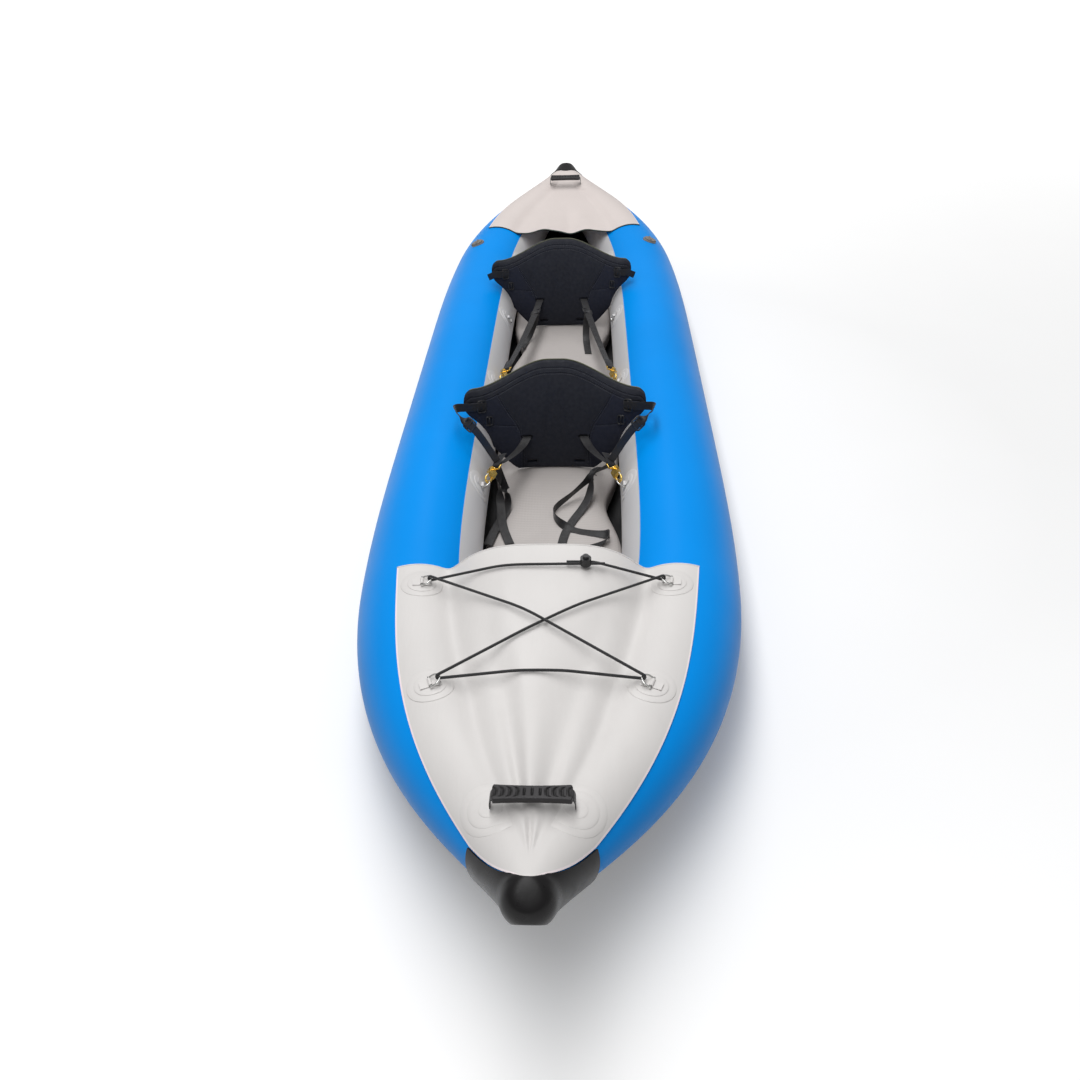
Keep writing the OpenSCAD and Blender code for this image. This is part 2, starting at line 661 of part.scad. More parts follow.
// Carry handles: webbing legs that lie on their anchor patches, and a waisted rubber grip
leg_x = grip_l / 2 + 4;
webbing_t = 2;
webbing_gap = 0.3;
anchor_gap = 0.8;
waist_r = (grip_l * grip_l / 4 + grip_waist * grip_waist) / (2 * grip_waist);
groove_r = 11;
groove_shift = 5;
groove_depth = 2.5;
oval_w = 4.4;
oval_l = 12;
function handle_angle(u) = let (a = across(u).x, b = upward(u).x)
  atan2(b, a) + acos((leg_x - axis_pt(u).x) / (tube_r(u) + deck_off) / norm([a, b]));
function handle_foot(y) = let (u = y / y_end) wall(u, handle_angle(u), deck_off);
function handle_slope(y) = let (a = handle_foot(y - 5), b = handle_foot(y + 5)) atan2(b.z - a.z, b.y - a.y);
module at_handle(y, at_stern) {
  p = handle_foot(y);
  mirror([0, at_stern ? 0 : 1, 0]) translate([0, p.y, p.z]) rotate([handle_slope(y), 0, 0]) children();
}
module anchor_patch(y) {
  u = y / y_end;
  both_sides() at_wall(u, handle_angle(u), deck_off) disc_layer(anchor_d, tube_r(u) + deck_off, patch_gap, patch_t);
}
module handle_patches() {
  color("whitesmoke") {
    mirror([0, 1, 0]) anchor_patch(bow_handle_y);
    anchor_patch(stern_handle_y);
  }
}
swing_h = patch_gap + patch_t + anchor_gap + strap_w / 2;
function handle_swing(y) = let (p = handle_foot(y), a = handle_slope(y))
  [0, p.y - swing_h * sin(a), p.z + swing_h * cos(a)];
module handle_webbing() {
  color("#1a1a1c") {
    translate([-leg_x - webbing_t / 2, -strap_w / 2, handle_rise - webbing_t / 2])
      cube([2 * leg_x + webbing_t, strap_w, webbing_t]);
    for (x = [-leg_x, leg_x]) translate([x - webbing_t / 2, 0, swing_h]) {
      translate([0, -strap_w / 2, 0]) cube([webbing_t, strap_w, handle_rise - swing_h]);
      rotate([0, 90, 0]) cylinder(d = strap_w, h = webbing_t);
    }
  }
}
module groove(x, turned) {
  translate([x, 0, handle_rise + grip_t / 2 - groove_depth]) difference() {
    cylinder(r = groove_r, h = grip_t);
    translate([turned * groove_shift, 0, -1]) cylinder(r = groove_r, h = grip_t + 2);
  }
}
module oval(x) {
  translate([x, 0, handle_rise + grip_t / 2 - groove_depth]) {
    for (y = [-oval_l / 2, oval_l / 2]) translate([0, y, 0]) cylinder(d = oval_w, h = grip_t);
    translate([-oval_w / 2 + 0.2, -oval_l / 2, 0]) cube([oval_w - 0.4, oval_l, grip_t]);
  }
}
module handle_grip() {
  slot_w = strap_w + 2 * webbing_gap;
  slot_t = webbing_t + 2 * webbing_gap;
  color("#202022") difference() {
    translate([-grip_l / 2, -grip_w / 2, handle_rise - grip_t / 2]) cube([grip_l, grip_w, grip_t]);
    for (s = [-1, 1]) translate([0, s * (grip_w / 2 - grip_waist + waist_r), 0])
      cylinder(r = waist_r, h = big, center = true, $fn = 720);
    translate([-grip_l, -slot_w / 2, handle_rise - slot_t / 2]) cube([2 * grip_l, slot_w, slot_t]);
    for (x = [-13, 0, 13]) oval(x);
    for (s = [-1, 1], x = [30, 42]) groove(s * x, s);
  }
}
module bow_handle_webbing() at_handle(bow_handle_y, false) handle_webbing();
module bow_handle_grip() at_handle(bow_handle_y, false) handle_grip();
module stern_handle_webbing() at_handle(stern_handle_y, true) handle_webbing();
module stern_handle_grip() at_handle(stern_handle_y, true) handle_grip();

// Air valves: local Z points out of the chamber, and z = 0 is its skin
flange_h = 3;
plate_h = 6;
poppet_h = 3.5;
poppet_d = mouth_d - 4;
pocket_gap = 0.5;
pocket_depth = flange_h + barrel_h + fit_gap + poppet_h + stem_travel + 4;
cap_grip_d = 44;
cap_grip_h = 5;
cap_skirt = 4;
skirt_gap = 0.7;
hinge_r = 2.2;
hinge_pin_d = 2;
ear_w = 4;
knuckle_w = 7.4;
hinge_y = cap_grip_d / 2 + fit_gap + hinge_r;
hinge_z = flange_h + fit_gap + hinge_r;
button_top = -flange_h - 4;
button_h = 4;
push_d = 9;
module valve_pocket() {
  translate([0, 0, -flange_h - fit_gap]) cylinder(d = flange_d + 2 * pocket_gap, h = big / 8);
  translate([0, 0, -pocket_depth]) cylinder(d = barrel_d + 2 * pocket_gap, h = pocket_depth + 1);
}
module at_floor() translate([0, floor_valve_y, mat_top(floor_valve_y / y_end)]) children();
module at_tube_valve() at_wall(valve_y / y_end, valve_angle) children();
module valve_body() {
  color("#8d8479") difference() {
    union() {
      translate([0, 0, -flange_h]) cylinder(d = flange_d, h = 2 * flange_h);
      translate([0, 0, -flange_h - barrel_h]) cylinder(d = barrel_d, h = barrel_h + 1);
    }
    translate([0, 0, -flange_h - barrel_h + plate_h]) cylinder(d = mouth_d, h = big);
    translate([0, 0, -big]) cylinder(d = stem_d + 2 * run_gap, h = 2 * big);
    for (a = [0:90:270]) rotate([0, 0, a]) translate([mouth_d / 4 + 1, 0, -big]) cylinder(d = mouth_d / 5, h = 2 * big);
  }
  color("#8d8479") translate([0, -hinge_y, 0]) cap_hinge();
}
// Two ears and the pin between them
module cap_hinge() {
  ear_x = knuckle_w / 2 + fit_gap + ear_w / 2;
  for (x = [-ear_x, ear_x]) translate([x, 0, hinge_z]) {
    rotate([0, 90, 0]) cylinder(r = hinge_r, h = ear_w, center = true);
    translate([-ear_w / 2, -hinge_r, flange_h - 1 - hinge_z]) cube([ear_w, 2 * hinge_r, hinge_z - flange_h + 1]);
  }
  translate([0, 0, hinge_z]) rotate([0, 90, 0]) cylinder(d = hinge_pin_d, h = 2 * ear_x, center = true);
}
module valve_stem() {
  color("white") {
    translate([0, 0, -flange_h - barrel_h - fit_gap - poppet_h]) cylinder(d = poppet_d, h = poppet_h);
    translate([0, 0, -flange_h - barrel_h - fit_gap - 1]) cylinder(d = stem_d, h = barrel_h + flange_h + button_top);
    translate([0, 0, button_top - button_h]) cylinder(d = push_d, h = button_h);
  }
}
module valve_spring() {
  room = barrel_h + flange_h - plate_h + button_top - button_h - stem_travel - fit_gap;
  translate([0, 0, -flange_h - barrel_h + plate_h]) difference() {
    cylinder(d = push_d - 0.6, h = room);
    translate([0, 0, -1]) cylinder(d = stem_d + 1, h = room + 2);
  }
}
module valve_cap() {
  color("#7c746b") {
    translate([0, 0, flange_h + fit_gap]) cylinder(d = cap_grip_d, h = cap_grip_h);
    translate([0, 0, flange_h + fit_gap - cap_skirt]) cylinder(d = mouth_d - 2 * skirt_gap, h = cap_skirt + 1);
    translate([-cap_grip_d / 2 + 4, -3, flange_h + fit_gap + cap_grip_h - 1]) cube([cap_grip_d - 8, 6, 5]);
    translate([0, -hinge_y, hinge_z]) cap_knuckle();
  }
}
module cap_knuckle() {
  web = 3;
  difference() {
    union() {
      rotate([0, 90, 0]) cylinder(r = hinge_r, h = knuckle_w, center = true);
      translate([-knuckle_w / 2, 0, -web / 2]) cube([knuckle_w, hinge_r + fit_gap + 2, web]);
    }
    rotate([0, 90, 0]) cylinder(d = hinge_pin_d + 2 * run_gap, h = big, center = true);
  }
}
module left_valve_body() on_side(true) at_tube_valve() valve_body();
module right_valve_body() on_side(false) at_tube_valve() valve_body();
module floor_valve_body() at_floor() valve_body();
module left_valve_stem() on_side(true) at_tube_valve() valve_stem();
module right_valve_stem() on_side(false) at_tube_valve() valve_stem();
module floor_valve_stem() at_floor() valve_stem();
module left_valve_cap() on_side(true) at_tube_valve() valve_cap();
module right_valve_cap() on_side(false) at_tube_valve() valve_cap();
module floor_valve_cap() at_floor() valve_cap();
module valve_springs() {
  color("gray") {
    both_sides() at_tube_valve() valve_spring();
    at_floor() valve_spring();
  }
}

// Backrests: local X across, Z up the back, -Y forwards. The foot's front edge is the origin.
pad_columns = 28;
pad_rows = 9;
corner_r = 28;
side_power = 1.25;
forward_lean = -5;
seat_room = 2.5;
top_rows = [0, 8, 22, channel_at - 6, channel_at, channel_at + 6];
seat_half = seat_w / 2;
foot_half = seat_foot_w / 2;
function corner_cut(x) = let (e = max(0, abs(x) - seat_half + corner_r)) corner_r - sqrt(corner_r * corner_r - e * e);
function ease(t) = t * t * (3 - 2 * t);
function arch(x) = ease(clamp01((abs(x) - arch_flat_w / 2) / (seat_half - corner_r - arch_flat_w / 2)));
function seat_top(x) = seat_h - (seat_h - wing_high) * arch(x) - corner_cut(x);
// Height at which a tilted backrest just clears the tubes
seat_reach = tube_d / 2 + panel_off + seat_room;
function seat_clear(x) =
  let (c = axis_pt(rear_seat_y / y_end), dx = c.x - abs(x), rise = seat_reach * seat_reach - dx * dx)
  dx > seat_reach ? 0 : (c.z + sqrt(rise) - seat_z(1) + seat_wrap(x) * sin(forward_lean)) / cos(forward_lean);
function seat_low(x) =
  max(seat_clear(x), wing_low * pow(clamp01((abs(x) - foot_half) / (seat_half - foot_half)), side_power))
  + corner_cut(x) * 0.8;
function seat_wrap(x) = -wing_wrap * pow(x / seat_half, 2);
function pad_swell(x, h) = let (t = clamp01((h - seat_low(x)) / (seat_top(x) - seat_low(x))))
  (1 - pow(abs(x) / seat_half, 4)) * (1 - pow(abs(2 * t - 1), 4));
function top_share(x) = min(1, (seat_top(x) - seat_low(x)) / (2 * top_rows[5]));
function pad_channel(x, h) = channel_depth * exp(-pow(((seat_top(x) - h) / top_share(x) - channel_at) / 4, 2));
function pad_front(x, h) = seat_wrap(x) - pad_crown * pad_swell(x, h) + min(pad_channel(x, h), pad_crown * pad_swell(x, h));
function column(x) = let (share = top_share(x)) concat(
  [for (i = [0:pad_rows - 1]) lerp(seat_low(x), seat_top(x) - share * top_rows[5], i / pad_rows)],
  [for (i = [5:-1:0]) seat_top(x) - share * top_rows[i]]
);
pad_xs = [for (i = [0:pad_columns]) seat_half * sin(90 * (2 * i / pad_columns - 1)) * 0.3 + seat_half * 0.7 * (2 * i / pad_columns - 1)];
seat_ys = [front_seat_y, rear_seat_y];
function seat_z(i) = mat_top(seat_ys[i] / y_end) + fit_gap + (pad_edge + fit_gap + back_t) * sin(seat_lean);
function in_seat(i, p) = [
  p.x,
  seat_ys[i] + p.y * cos(seat_lean) + p.z * sin(seat_lean),
  seat_z(i) - p.y * sin(seat_lean) + p.z * cos(seat_lean)
];
module at_seat(i) translate([0, seat_ys[i], seat_z(i)]) rotate([-seat_lean, 0, 0]) children();
module seat_pad() {
  color("#20232b") sheet(
    [for (x = pad_xs) [for (h = column(x)) [x, pad_front(x, h), h]]],
    [for (x = pad_xs) [for (h = column(x)) [x, seat_wrap(x) + pad_edge, h]]]
  );
}
module seat_panel() {
  lip = 3;
  low = pad_edge + fit_gap;
  color("#3b3d42") sheet(
    [for (x = pad_xs) [for (t = [0, 0.5, 1]) [x, seat_wrap(x) + low, lerp(seat_low(x), seat_top(x) + lip, t)]]],
    [for (x = pad_xs) [for (t = [0, 0.5, 1]) [x, seat_wrap(x) + low + back_t, lerp(seat_low(x), seat_top(x) + lip, t)]]]
  );
}

// Buckles on the wings, flat on the pad, with two strap openings each
buckle_open = 7;
buckle_x = 212;
module buckle() {
  w = strap_w + 2 * buckle_bar;
  h = 2 * buckle_open + 3 * buckle_bar;
  translate([-w / 2, -buckle_t, -h / 2]) difference() {
    cube([w, buckle_t, h]);
    for (i = [0, 1]) translate([buckle_bar, -1, buckle_bar + i * (buckle_open + buckle_bar)])
      cube([strap_w, buckle_t + 2, buckle_open]);
  }
}
buckle_seat = 2.5;
buckle_half = buckle_open + buckle_bar * 1.5;
buckle_slope = atan2(seat_wrap(buckle_x + 5) - seat_wrap(buckle_x - 5), 10);
buckle_y = min([for (h = [-buckle_half, 0, buckle_half]) pad_front(buckle_x, wing_buckle_h + h)]) - buckle_seat;
module wing_buckles() {
  both_sides() translate([buckle_x, buckle_y, wing_buckle_h]) rotate([0, 0, buckle_slope]) rotate([0, 90, 0]) buckle();
}
// Point in line with a wing buckle, out past its end
function past_buckle(out) = let (d = buckle_half + out) [
  buckle_x + d * cos(buckle_slope) + buckle_t / 2 * sin(buckle_slope),
  buckle_y + d * sin(buckle_slope) - buckle_t / 2 * cos(buckle_slope),
  wing_buckle_h
];

// Hooks: the ring lies in the jaw below the origin, the strap end is up +Z, and the bolt is on +X
barrel_z = 16;
block_h = 25;
block_w = 9;
block_side = 4;
tip_h = 3;
bolt_len = 24;
bore_floor = 3;
knob_d = 3.6;
knob_z = 20;
knob_reach = 9;
slot_gap = 0.4;
post_d = 5;
post_h = 5;
post_head_d = 8;
hub_h = 4;
hub_d = 12;
eye_h = 17;
eye_half = strap_w / 2 + 3;
ring_seat = jaw_r - hook_wire / 2 - ring_wire / 2 - fit_gap;
module hook_body() {
  top = barrel_z + block_h;
  difference() {
    union() {
      rotate([-90, 0, 0]) rotate_extrude(angle = 180) translate([jaw_r, 0]) circle(d = hook_wire);
      translate([-jaw_r, 0, 0]) cylinder(d = hook_wire, h = barrel_z + 1);
      translate([jaw_r, 0, 0]) cylinder(d = hook_wire, h = tip_h);
      translate([-jaw_r - block_side, -block_w / 2, barrel_z]) cube([2 * (jaw_r + block_side), block_w, block_h]);
      translate([0, 0, top - 1]) cylinder(d = post_d, h = post_h + 2);
      translate([0, 0, top + post_h]) cylinder(d = post_head_d, h = 2);
    }
    translate([jaw_r, 0, barrel_z - 1]) cylinder(d = bolt_d + 2 * run_gap, h = block_h - bore_floor + 1);
    translate([jaw_r, -knob_d / 2 - slot_gap, knob_z - knob_d / 2 - slot_gap])
      cube([big, knob_d + 2 * slot_gap, bolt_travel + knob_d + 2 * slot_gap]);
  }
}
module hook_bolt() {
  translate([jaw_r, 0, tip_h + fit_gap]) cylinder(d = bolt_d, h = bolt_len);
  translate([jaw_r, 0, knob_z]) rotate([0, 90, 0]) cylinder(d = knob_d, h = knob_reach);
}
eye_z = barrel_z + block_h + fit_gap + hub_h / 2;
module hook_eye() {
  rotate([0, 0, 90]) difference() {
    union() {
      translate([0, 0, eye_z - hub_h / 2]) cylinder(d = hub_d, h = hub_h);
      for (z = [0, eye_h]) translate([0, 0, eye_z + z]) rotate([0, 90, 0])
        cylinder(d = eye_wire + 0.4, h = 2 * (eye_half + bar_end) + eye_wire, center = true);
      for (x = [-eye_half, eye_half]) translate([x, 0, eye_z]) cylinder(d = eye_wire, h = eye_h);
    }
    translate([0, 0, eye_z - hub_h]) cylinder(d = post_d + 2 * run_gap, h = 2 * hub_h);
  }
}

// Each hook: its seat ring pair and how far it pulls astern of straight out
hook_ring = [0, 1, 1, 3];
hook_pull = [68, -78, 78, -78];
ring_height = bar_lift + ring_leg;
hook_reach = ring_r + ring_seat;
module at_hook(i) {
  at_seat_ring(hook_ring[i]) translate([0, 0, ring_height]) rotate([0, hook_pull[i], 0])
    translate([0, 0, hook_reach]) rotate([0, 0, -90]) children();
}
function hook_dir(i) = let (u = seat_ring_ys[hook_ring[i]] / y_end)
  sin(hook_pull[i]) * wall_x(u, seat_ring_a, panel_off) + cos(hook_pull[i]) * wall_z(u, seat_ring_a, panel_off);
function hook_side(i) = let (u = seat_ring_ys[hook_ring[i]] / y_end)
  cos(hook_pull[i]) * wall_x(u, seat_ring_a, panel_off) - sin(hook_pull[i]) * wall_z(u, seat_ring_a, panel_off);
function hook_end(i) = let (u = seat_ring_ys[hook_ring[i]] / y_end)
  wall(u, seat_ring_a, panel_off) + ring_height * wall_z(u, seat_ring_a, panel_off)
  + (hook_reach + eye_z + eye_h) * hook_dir(i);
module snap_hooks() color("goldenrod") both_sides() for (i = [0:3]) at_hook(i) hook_body();
module hook_eyes() color("goldenrod") both_sides() for (i = [0:3]) at_hook(i) hook_eye();
module thumb_bolt(i, left) color("khaki") on_side(left) at_hook(i) hook_bolt();

// Straps, drawn for the right side
strap_gaps = [3, 3, 1.6, 3];
strap_stack = strap_t / 2 + 0.35;
strap_steps = 3;
function strap_end(i, lift) = hook_end(i) + hook_dir(i) * (eye_wire / 2 + 0.2 + strap_gaps[i]) + unit(cross(hook_side(i), hook_dir(i))) * lift;
slot_seat = 7;
back_seat = 4.5;
front_hooks = [0, 2];
rear_hooks = [1, 3];
module slot_strap(i) {
  hook = front_hooks[i];
  a = in_seat(i, [slot_x, pad_front(slot_x, slot_h) - slot_seat, slot_h]);
  b = strap_end(hook, -strap_stack);
  path = [a, lerp(a, b, 0.2) + [0, 0, -12], lerp(a, b, 0.5) + [0, 0, -14], lerp(a, b, 0.8) + [0, 0, -8], b];
  ribbon(curve(path, strap_steps), [1, 0, 0], hook_side(hook));
}
// Only the front seat's wing straps reach its hooks: they loop out over the tubes first
module wing_strap() {
  hook = front_hooks[0];
  a = in_seat(0, past_buckle(1.2));
  out = in_seat(0, [seat_half + 18, -wing_wrap - 18, wing_buckle_h + 3]);
  over = in_seat(0, [seat_half + 8, -wing_wrap - 75, wing_buckle_h]);
  b = strap_end(hook, strap_stack);
  path = [a, out, over, lerp(over, b, 0.5) + [0, 0, 16], b];
  ribbon(curve(path, strap_steps), [0, 0, 1], hook_side(hook));
}
module rear_strap(i) {
  hook = rear_hooks[i];
  x = seat_half - 44;
  a = in_seat(i, [x, seat_wrap(x) + pad_edge + fit_gap + back_t + back_seat, wing_buckle_h + 12]);
  b = strap_end(hook, 0);
  path = [a, lerp(a, b, 0.3) + [0, 0, -4], lerp(a, b, 0.7) + [0, 0, -8], b];
  ribbon(curve(path, strap_steps), [0, 0, 1], hook_side(hook));
}
module front_strap(i) {
  color("#1b1b1d") {
    slot_strap(i);
    if (i == 0) wing_strap();
  }
}

// Loose strap ends that lie on the floor in front of the front seat
tail_lift = strap_t / 2 + 0.5;
function on_floor(x, y, up = 0) = [x, y, mat_top(y / y_end) + tail_lift + up];
tail_fall = 40;
module tail(side, points) {
  start = strap_end(front_hooks[0], 0) + [0, 0, -8];
  a = [side * start.x, start.y, start.z];
  ribbon(curve(concat([a, a + [-side * 6, -8, -tail_fall]], points), strap_steps), [side * 0.4, 1, 0], [1, 0, 0]);
}
module front_seat_tails() {
  color("#1b1b1d") {
    tail(-1, [on_floor(-150, -632, 22), on_floor(-138, -668, 2), on_floor(-126, -724), on_floor(-112, -790)]);
    tail(1, [on_floor(128, -630, 22), on_floor(106, -666, 2), on_floor(84, -728), on_floor(60, -800)]);
  }
}

// Short webbing ends that stick out of the rear seat's wing buckles
module rear_seat_tabs() {
  color("#1b1b1d") both_sides() ribbon(
    [for (p = [past_buckle(1.2), past_buckle(24) + [0, -2, 2], past_buckle(50) + [4, 6, -8]]) in_seat(1, p)],
    [0, 0, 1], [0, 0, 1]
  );
}

module front_seat_pad() at_seat(0) seat_pad();
module front_seat_panel() at_seat(0) seat_panel();
module front_seat_buckles() color("#161618") at_seat(0) wing_buckles();
module front_seat_left_strap() on_side(true) front_strap(0);
module front_seat_right_strap() on_side(false) front_strap(0);
module front_seat_rear_straps() color("#1b1b1d") both_sides() rear_strap(0);
module rear_seat_pad() at_seat(1) seat_pad();
module rear_seat_panel() at_seat(1) seat_panel();
module rear_seat_buckles() color("#161618") at_seat(1) wing_buckles();
module rear_seat_left_strap() on_side(true) front_strap(1);
module rear_seat_right_strap() on_side(false) front_strap(1);
module rear_seat_rear_straps() color("#1b1b1d") both_sides() rear_strap(1);

left_tube();
right_tube();
left_inner_panel();
right_inner_panel();
bottom_skin();
floor_mat();
bow_deck();
stern_deck();
bow_cap();
stern_cap();
deck_ring_patches();
deck_rings();
seat_ring_patches();
hooked_rings();
left_free_ring();
right_free_ring();
bungee_cord();
cord_lock_body();
cord_lock_button();
handle_patches();
bow_handle_webbing();
bow_handle_grip();
stern_handle_webbing();
stern_handle_grip();
left_valve_body();
right_valve_body();
floor_valve_body();
left_valve_stem();
right_valve_stem();
floor_valve_stem();
left_valve_cap();
right_valve_cap();
floor_valve_cap();
valve_springs();
front_seat_pad();
front_seat_panel();
front_seat_buckles();
front_seat_left_strap();
front_seat_right_strap();
front_seat_rear_straps();
front_seat_tails();
rear_seat_pad();
rear_seat_panel();
rear_seat_buckles();
rear_seat_left_strap();
rear_seat_right_strap();
rear_seat_rear_straps();
rear_seat_tabs();
snap_hooks();
hook_eyes();
thumb_bolt(0, true);  // front_seat_bolt_front_left
thumb_bolt(0, false);  // front_seat_bolt_front_right
thumb_bolt(1, true);  // front_seat_bolt_rear_left
thumb_bolt(1, false);  // front_seat_bolt_rear_right
thumb_bolt(2, true);  // rear_seat_bolt_front_left
thumb_bolt(2, false);  // rear_seat_bolt_front_right
thumb_bolt(3, true);  // rear_seat_bolt_rear_left
thumb_bolt(3, false);  // rear_seat_bolt_rear_right
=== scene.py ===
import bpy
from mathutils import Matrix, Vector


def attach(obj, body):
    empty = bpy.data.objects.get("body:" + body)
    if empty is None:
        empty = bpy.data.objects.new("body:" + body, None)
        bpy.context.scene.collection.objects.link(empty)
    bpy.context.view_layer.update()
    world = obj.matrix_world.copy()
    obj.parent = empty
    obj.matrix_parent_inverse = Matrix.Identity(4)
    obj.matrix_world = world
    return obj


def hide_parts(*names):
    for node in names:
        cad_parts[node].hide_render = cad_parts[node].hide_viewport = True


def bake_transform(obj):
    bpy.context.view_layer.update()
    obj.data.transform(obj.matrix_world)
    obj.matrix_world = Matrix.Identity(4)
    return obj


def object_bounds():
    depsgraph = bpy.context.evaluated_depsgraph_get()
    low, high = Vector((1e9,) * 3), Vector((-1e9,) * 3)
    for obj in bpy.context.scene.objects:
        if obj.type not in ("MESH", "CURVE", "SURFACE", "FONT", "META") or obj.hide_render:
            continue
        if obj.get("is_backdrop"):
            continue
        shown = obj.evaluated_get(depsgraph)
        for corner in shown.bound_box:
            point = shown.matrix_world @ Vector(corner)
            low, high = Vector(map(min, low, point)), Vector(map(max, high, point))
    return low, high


bl_info = {
    "name": "Inflatable tandem kayak",
    "version": (1, 0, 0),
    "blender": (4, 5, 0),
    "location": "View3D > Sidebar > Kayak",
    "description": "Builds the visible pieces of an inflatable kayak for two over its frame",
    "category": "Object",
}

import bpy
import numpy as np
from bpy.props import FloatProperty, FloatVectorProperty, PointerProperty
from bpy.types import Operator, Panel, PropertyGroup
from mathutils import Matrix

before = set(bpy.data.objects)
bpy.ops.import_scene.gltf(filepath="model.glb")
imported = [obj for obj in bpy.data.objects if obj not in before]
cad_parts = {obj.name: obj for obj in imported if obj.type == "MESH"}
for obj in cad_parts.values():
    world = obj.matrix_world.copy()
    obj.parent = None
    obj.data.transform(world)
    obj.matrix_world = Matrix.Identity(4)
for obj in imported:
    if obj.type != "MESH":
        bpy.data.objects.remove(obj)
CAD_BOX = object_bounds()

# Factors that mirror a point to the left side, leave it on the right and move it into the middle plane
MIRROR = np.array([-1.0, 1.0, 1.0])
SIDES = (("left", MIRROR), ("right", np.ones(3)))
MIDDLE = np.array([0, 1, 1])

# The way up
UP = np.array([0, 0, 1.0])


# Settings

def srgb(red, green, blue):
    """Linear colour of a display colour from 0 to 255: a straight foot, then a power of 2.4."""
    c = np.array([red, green, blue]) / 255
    return tuple(np.where(c < 0.04045, c / 12.92, ((c + 0.055) / 1.055) ** 2.4))


def length(name, default, text):
    return FloatProperty(
        name=name, default=default, description=text, unit="LENGTH", subtype="DISTANCE", precision=4)


def number(name, default, text):
    return FloatProperty(name=name, default=default, description=text, precision=3)


def colour(name, default, text):
    return FloatVectorProperty(
        name=name, default=default, description=text, subtype="COLOR", size=3, min=0, max=1)


class KayakHull(PropertyGroup):
    """Lines of the hull, shared by all that is bonded to it."""

    end: length("End of the tubes", 2.0016, "From amidships to the end of a tube's axis")
    spread: length("Spread", 0.332, "From the middle plane to a tube's axis amidships")
    tube: length("Tube radius", 0.143, "Radius of a side tube amidships")
    nose: length("Nose radius", 0.043, "Radius of a side tube at its nose")
    lift: length("Lift", 0.0012, "Height of a tube's wall over the ground amidships")
    rise: length("Rise", 0.285, "How far the noses rise")
    plan_power: number("Plan power", 5.15, "Exponent that keeps the tubes parallel")
    plan_taper: number("Plan taper", 1.52, "Exponent that draws the ends in")
    taper_start: number("Taper start", 0.54, "Share of the half length where the tubes start to taper")
    rise_start: number("Rise start", 0.4, "Share of the half length where the noses start to rise")
    rise_power: number("Rise power", 2.64, "Exponent of the rise")
    deck_off: length("Deck height", 0.0031, "Top of the deck fabric over a tube's wall")
    panel_off: length("Panel height", 0.0016, "Face of an inner panel over a tube's wall")
    bow_deck: length("Bow deck edge", 1.127, "From amidships to the bow deck's free edge")
    stern_deck: length("Stern deck edge", 1.29, "From amidships to the stern deck's free edge")
    cap: length("Cap arms", 1.885, "From amidships to the ends of a cap's arms")
    bow_tip: length("Bow deck tip", 2.02, "From amidships to the bow deck's tip")
    stern_tip: length("Stern deck tip", 1.946, "From amidships to the stern deck's tip")
    dome: length("Dome", 0.0484, "From the end of a tube's axis to the end of a nose cap")


class KayakSeats(PropertyGroup):
    """Shape and place of the two backrests."""

    front: length("Front place", -0.365, "Front backrest's foot, from amidships")
    rear: length("Rear place", 0.7, "Rear backrest's foot, from amidships")
    base: length("Foot height", 0.10107, "Height of the backrests' feet")
    height: length("Height", 0.322, "Along the back, in the middle")
    half: length("Half width", 0.262, "From the middle to a wing's tip")
    foot: length("Half foot", 0.112, "Half the width of the straight foot")
    wing_low: length("Wing low corner", 0.185, "Height that the flanks climb to")
    wing_high: length("Shoulder", 0.25, "Height of the wings' shoulders")
    arch: length("Half arch", 0.022, "Half the width of the level top of the arch")
    buckle: length("Buckle height", 0.202, "Height of the large wing buckles")
    room: length("Room", 0.0025, "Gap between a wing and the inner wall when tilted forwards")
    wrap: length("Wrap", 0.08, "How far the wings come forwards")
    corner: length("Corner", 0.028, "Radius of the wing corners")
    edge: length("Edge", 0.008, "Thickness at the edges")
    crown: length("Crown", 0.022, "Extra thickness in the middle")
    lean: number("Lean", 0.261799, "Backward lean at rest, in radians")


class KayakColours(PropertyGroup):
    """Colours of the fabrics, plastics and metals."""

    tube: colour("Tube", srgb(0, 146, 238), "Side tubes")
    wall: colour("Inner wall", srgb(206, 205, 206), "Inner wall panels")
    bow: colour("Bow deck", srgb(217, 214, 212), "Bow deck")
    stern: colour("Stern deck", srgb(221, 211, 207), "Stern deck")
    edge: colour("Deck edge", srgb(243, 232, 234), "Cut edge of a deck")
    hem: colour("Hem", srgb(40, 58, 52), "Hem along a deck's free edge")
    floor: colour("Floor", srgb(190, 184, 181), "Floor mat")
    bottom: colour("Bottom", srgb(30, 30, 32), "Bottom skin")
    rubber: colour("Rubber", srgb(25, 24, 25), "Nose caps and grips")
    fabric: colour("Seat fabric", srgb(14, 18, 32), "Middle of a backrest")
    wing: colour("Wing fabric", srgb(9, 16, 37), "Wings of a backrest")
    rim: colour("Seat rim", srgb(92, 94, 76), "Rim behind a backrest's top edge")
    back: colour("Back panel", srgb(52, 54, 60), "Back of a backrest")
    webbing: colour("Webbing", srgb(27, 26, 28), "Straps")
    cord: colour("Cord", srgb(24, 24, 26), "Bungee")
    plastic: colour("Plastic", srgb(30, 30, 32), "Buckles and cord lock")
    valve: colour("Valve", srgb(146, 138, 128), "Valves")
    steel: colour("Steel", srgb(214, 214, 212), "Rings")
    brass: colour("Brass", srgb(250, 212, 116), "Snap hooks")


def hull():
    return bpy.context.scene.kayak_hull


def seats():
    return bpy.context.scene.kayak_seats


def colours():
    return bpy.context.scene.kayak_colours


# Surfaces from grids of points

def joined(*parts):
    """Coordinates side by side, from arrays of one shape or of shapes that spread to one."""
    return np.stack(np.broadcast_arrays(*parts), -1)


